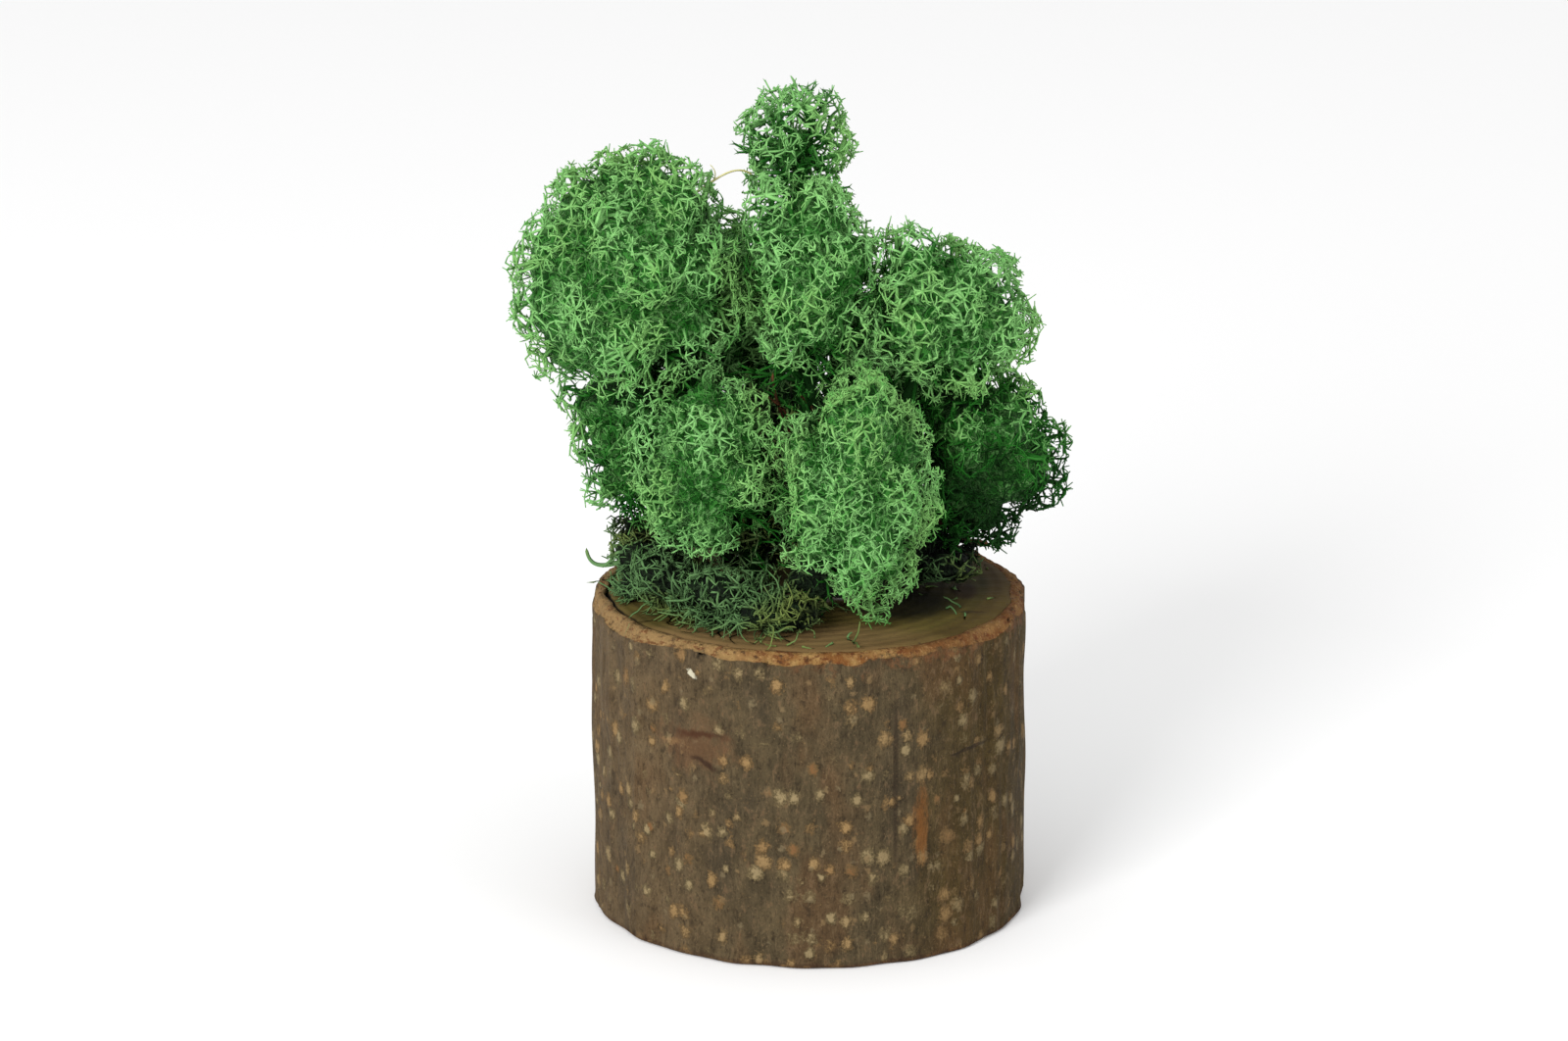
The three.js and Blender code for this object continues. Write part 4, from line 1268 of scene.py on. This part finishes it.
def thread(points, radius, depth, sides=5, steps=24):
    """One thread through a few points: each axis is a cubic through them, by distance along."""
    points = np.array(points, float)
    distance = np.concatenate([[0], np.cumsum(np.linalg.norm(np.diff(points, axis=0), axis=1))])
    fit = [np.polyfit(distance, points[:, k], min(3, len(points) - 1)) for k in range(3)]
    t = np.linspace(0, distance[-1], steps)
    path = np.stack([np.polyval(f, t) for f in fit], axis=1)[None]
    share = np.linspace(0, 1, steps)[None]
    return tubes(path, radius * (1 - 0.5 * share), sides, depth + 0 * share)


dark_moss = moss_material("old dark moss", tip=rgb(56, 86, 40), arm=rgb(88, 124, 76), dark=rgb(4, 16, 4),
                          inner=0.14, other=rgb(106, 122, 62))
hook_line = [(-23, -5, 49.8), (-25.6, -4.8, 49.1), (-27.6, -4.6, 48.5), (-29, -4.3, 48.9), (-29.9, -4, 50.9)]
hook = thread(hook_line, 0.46, 1.0)
hook_fork = thread([(-27.8, -4.6, 48.5), (-26.8, -5, 49.3), (-26.4, -5.2, 50.4)], 0.26, 1.0)
add_piece("moss_mat", joined([mat(), hook, hook_fork]), dark_moss, "moss_mat_dark")
print("triangles of the mat:", triangles["moss_mat"])

# %% [markdown]
# # Tufts between the stalks
# The gap between the heads is dark, partly because old growth fills it and partly from shade, which
# their colour carries as painted shade. Bushes on the glue and two low heads on the wood fill it here.
# They are a piece of their own, as no node of the imported model stands for them.


# %% Tufts between the stalks
def inner_tufts():
    """Bushes that stand on the glue and lean out of the gap between the heads."""
    random = np.random.default_rng(31)
    count = 60
    turn = 2 * math.pi * random.random(count)
    out = level_ways(turn)
    distance = 3 + 8 * random.random(count)
    feet = np.array([GLUE["x"], GLUE["y"], LOG_HEIGHT + 2]) + out * distance[:, None]
    feet[:, 2] += 22 * random.random(count) ** 1.5
    ways = unit(out + [0, 0, 0.6] + 0.4 * random.normal(0, 1, out.shape))
    made = bushes(feet, ways, 5 + 4 * random.random(count), random, radius=0.18, foot_depth=7.0)
    return above_log(joined([made] + [grow(head) for head in low_heads[MAT_HEADS:]]))


add_piece("moss_between_stalks", inner_tufts(), dark_moss)
print("triangles of the tufts:", triangles["moss_between_stalks"])

# %% [markdown]
# # Bare stems and a pale thread
# Some old twigs have lost their side twigs and stand bare and reddish in the gaps. One pale, bleached
# thread hooks over beside the upper left head. Each one is a tube through a few points, so that its
# bends can be set.


# %% Bare stems
def stems():
    """Reddish bare stems: a forked one under the right low head, three short ones in the gap between
    the heads and one over the mat."""
    random = np.random.default_rng(61)
    lines = [
        [(8.6, 2.6, 46.5), (12.5, 0.8, 51), (17, -0.4, 53.6), (22.6, -0.6, 54.4)],
        [(17, -0.4, 53.6), (19.4, -1.6, 52.6), (21.6, -2.6, 52)],
        [(-1, -1, 60), (-3.2, -4, 68), (-4.6, -6.5, 73), (-5, -7.6, 76.5)],
        [(-2, -3, 66), (-3.8, -6, 71), (-6.6, -7.8, 73.6)],
        [(1, -1, 66), (0, -5, 71), (-1.4, -7.6, 73.2)],
        [(-11.6, -12, 50.4), (-11, -14.6, 51.2), (-10.4, -16.2, 50.6), (-9.9, -17.2, 49.2)],
    ]
    thick = [0.5, 0.34, 0.32, 0.26, 0.26, 0.36]
    parts = [thread(line, radius, 3.0, 7) for line, radius in zip(lines, thick)]
    for points, _, _ in parts:
        points += 0.06 * random.normal(0, 1, points.shape)
    return joined(parts)


points, faces, _ = stems()
stem_material, shader, place = new_material("bare stem")
grain = place.noise(900, 4, 0.7)
drive(shader, "Base Color", grain.tones(0.35, 0.65, (54, 30, 19), (96, 60, 38)))
bump(shader, grain, 0.2)
add_piece("bare_stems", (points, faces, {}), stem_material)

pale_line = [(-15.4, 1.5, 98.4), (-13, 2.6, 99.6), (-11, 3.4, 100.9), (-9.2, 4.4, 100.6), (-7.6, 5.4, 99.8)]
pale_fork = [(-13, 2.6, 99.6), (-12.6, 2.2, 101), (-13.3, 2, 102.2)]
points, faces, _ = joined([thread(pale_line, 0.21, 0.0), thread(pale_fork, 0.1, 0.0)])
pale_material, shader, place = new_material("pale thread", roughness=0.7)
drive(shader, "Base Color", place.noise(700, 3).tones(0.35, 0.65, (206, 200, 118), (230, 222, 172)))
bump(shader, place.noise(3000, 2), 0.05)
add_piece("pale_thread", (points, faces, {}), pale_material)
print("triangles of the stems and the thread:", triangles["bare_stems"], triangles["pale_thread"])

# %% [markdown]
# # Crumbs
# Dry moss sheds crumbs. They lie on the wood in loose heaps, most of them on the right and behind the
# heads. Each heap is a normal spread round its middle, and each crumb is a short thread.


# %% Crumbs on the log top
def crumbs():
    """Short curls that fell off. Each heap has a middle, a spread in millimetres and a count."""
    random = np.random.default_rng(41)
    heaps = [((14, 2), 6, 40), ((-3, -25), 1.4, 10), ((6, -24), 3, 8),
             ((22, -8), 3, 8), ((0, 22), 5, 26), ((-20, 12), 3, 14)]
    flat = [random.normal(0, spread, (count, 2)) * [1, 0.7] + middle for middle, spread, count in heaps]
    flat = np.concatenate(flat)
    flat = flat[np.hypot(flat[:, 0], flat[:, 1]) < 25.5]
    n = len(flat)
    feet = np.concatenate([flat, np.full((n, 1), LOG_HEIGHT + 0.2)], axis=1)
    ways = unit(random.normal(0, 1, (n, 3)) * [1, 1, 0.25])
    ranges = (1.2, 2.4), (0.1, 0.1), (1, 3)
    lengths, radius, depth = (low + spread * random.random(n) for low, spread in ranges)
    return above_log(curls(feet, ways, lengths, random, radius, depth), 0.02)


add_piece("moss_crumbs", crumbs(), dark_moss)
print("triangles of the crumbs:", triangles["moss_crumbs"])

# %% [markdown]
# # Glue bed
# A flat pool of hot glue holds the stalks. It has cooled with a rounded edge and an uneven top. A turned
# profile would be too regular, so the profile is carried round it and changes with the angle.


# %% Glue bed
def glue_bed(around=96):
    """Radius * (1 + small waves of the angle) along a profile of ten heights, closed at both ends."""
    random = np.random.default_rng(51)
    turn = 2 * math.pi * np.arange(around) / around
    uneven = 1 + 0.03 * waves(turn, 0, random, 9, (2, 9), 0, 0.6)
    profile = [(0.0, 0.02), (0.6, 0.02), (0.93, 0.02), (0.985, 0.14), (1.0, 0.3),
               (0.97, 0.52), (0.86, 0.8), (0.6, 0.95), (0.3, 1.0), (0.0, 1.0)]
    rows = []
    for share, height in profile:
        dent = 0.05 * waves(turn, share * 6, random, 12, (1, 8), 0.3) * (height > 0.4) * (share > 0)
        radius = GLUE["radius"] * 0.985 * share * uneven
        x, y = GLUE["x"] + radius * np.cos(turn), GLUE["y"] + radius * np.sin(turn)
        rows.append(np.stack([x, y, LOG_HEIGHT + GLUE["height"] * (height + dent)], axis=-1))
    points = np.array(rows)
    faces = one_pole(grid_faces(len(profile), around), len(profile), around)
    points, faces, _ = without_unused(points.reshape(-1, 3), faces, [])
    return points, faces, {}


glue_material, shader, place = new_material("set glue", roughness=0.35, gloss=0.5)
cloud, dust = place.noise(320, 3), place.noise(2400, 2)
colour = layered(cloud.tones(0.35, 0.65, (60, 52, 32), (88, 78, 50)), [(dust, 0.58, 0.66, 0.8, (30, 52, 22))])
drive(shader, "Base Color", colour)
bump(shader, cloud, 0.6)
shader.inputs["Coat Weight"].default_value = 0.3
add_piece("glue", glue_bed(), glue_material, "glue_bed")
print("triangles of the glue:", triangles["glue"])

# %% [markdown]
# # Dry twig
# One thin bare twig lies on the log behind the moss. It is a tube along a slack curve. Its radius swells
# at a few buds, and two side shoots are broken off short.


# %% Dry twig
def dry_twig(steps=44, sides=10):
    """A tube whose y and z are parabolas of its share t along x. Its radius swells at four buds."""
    t = np.linspace(0, 1, steps)
    x = 9.5 + 15.0 * t
    y = 15 + 6.4 * t * (1 - t) + 0.8 * t
    z = LOG_HEIGHT + 0.85 + 1.4 * t * (1 - t)
    swell = sum(0.22 * np.exp(-((t - at) / 0.02) ** 2) for at in (0.18, 0.42, 0.66, 0.9))
    radius = 0.6 * (0.82 - 0.2 * t + swell)
    path = np.stack([x, y, z], axis=1)[None]
    main = tubes(path, radius[None], sides, np.zeros((1, steps)))
    shoots = []
    for at, way, length in ((18, (0.4, -0.8, 0.5), 2.6), (29, (0.5, 0.7, 0.5), 1.8)):
        s = np.linspace(0, 1, 6)[:, None]
        line = path[0, at] + s * np.array(way) * length
        shoots.append(tubes(line[None], 0.26 * (1 - 0.5 * s[:, 0])[None], 6, np.zeros((1, 6))))
    return joined([main, *shoots])


points, faces, _ = dry_twig()
twig_material, shader, place = new_material("dry twig bark")
fibre = place.stretched(x=0.15).noise(3000, 4, 0.7)
base = place.noise(400, 3).tones(0.35, 0.65, (58, 33, 17), (96, 60, 32))
drive(shader, "Base Color", layered(base, [(fibre, 0.5, 0.66, 0.6, (128, 96, 62))]))
bump(shader, fibre, 0.15)
add_piece("twig", (points, faces, {}), twig_material, "dry_twig")
print("triangles of the twig:", triangles["twig"])

# %% [markdown]
# # Floor
# The clump stands on a pale table. That is one plain square, and only the render needs it, so it is
# staged and isn't a piece of the part.

# %% Floor
floor_material, floor_shader, _ = new_material("pale floor", roughness=0.9)
floor_shader.inputs["Base Color"].default_value = (0.9, 0.9, 0.9, 1)
corners = 2000 * np.array([[-1, -1, 0], [1, -1, 0], [1, 1, 0], [-1, 1, 0.0]])
floor = add_mesh("floor", corners, np.array([[0, 1, 2, 3]]), {})
floor.data.materials.append(floor_material)
floor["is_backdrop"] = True
print("floor in metres:", tuple(round(side, 2) for side in floor.dimensions))

# %% [markdown]
# # Sizes
# The finer pieces have to fill the same box as the imported model. The box of the visual model is
# measured and printed.

# %% Sizes
new_box = [list(corner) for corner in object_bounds()]
print("box of the visual model:", new_box, "after", round(time.time() - started, 1), "s")
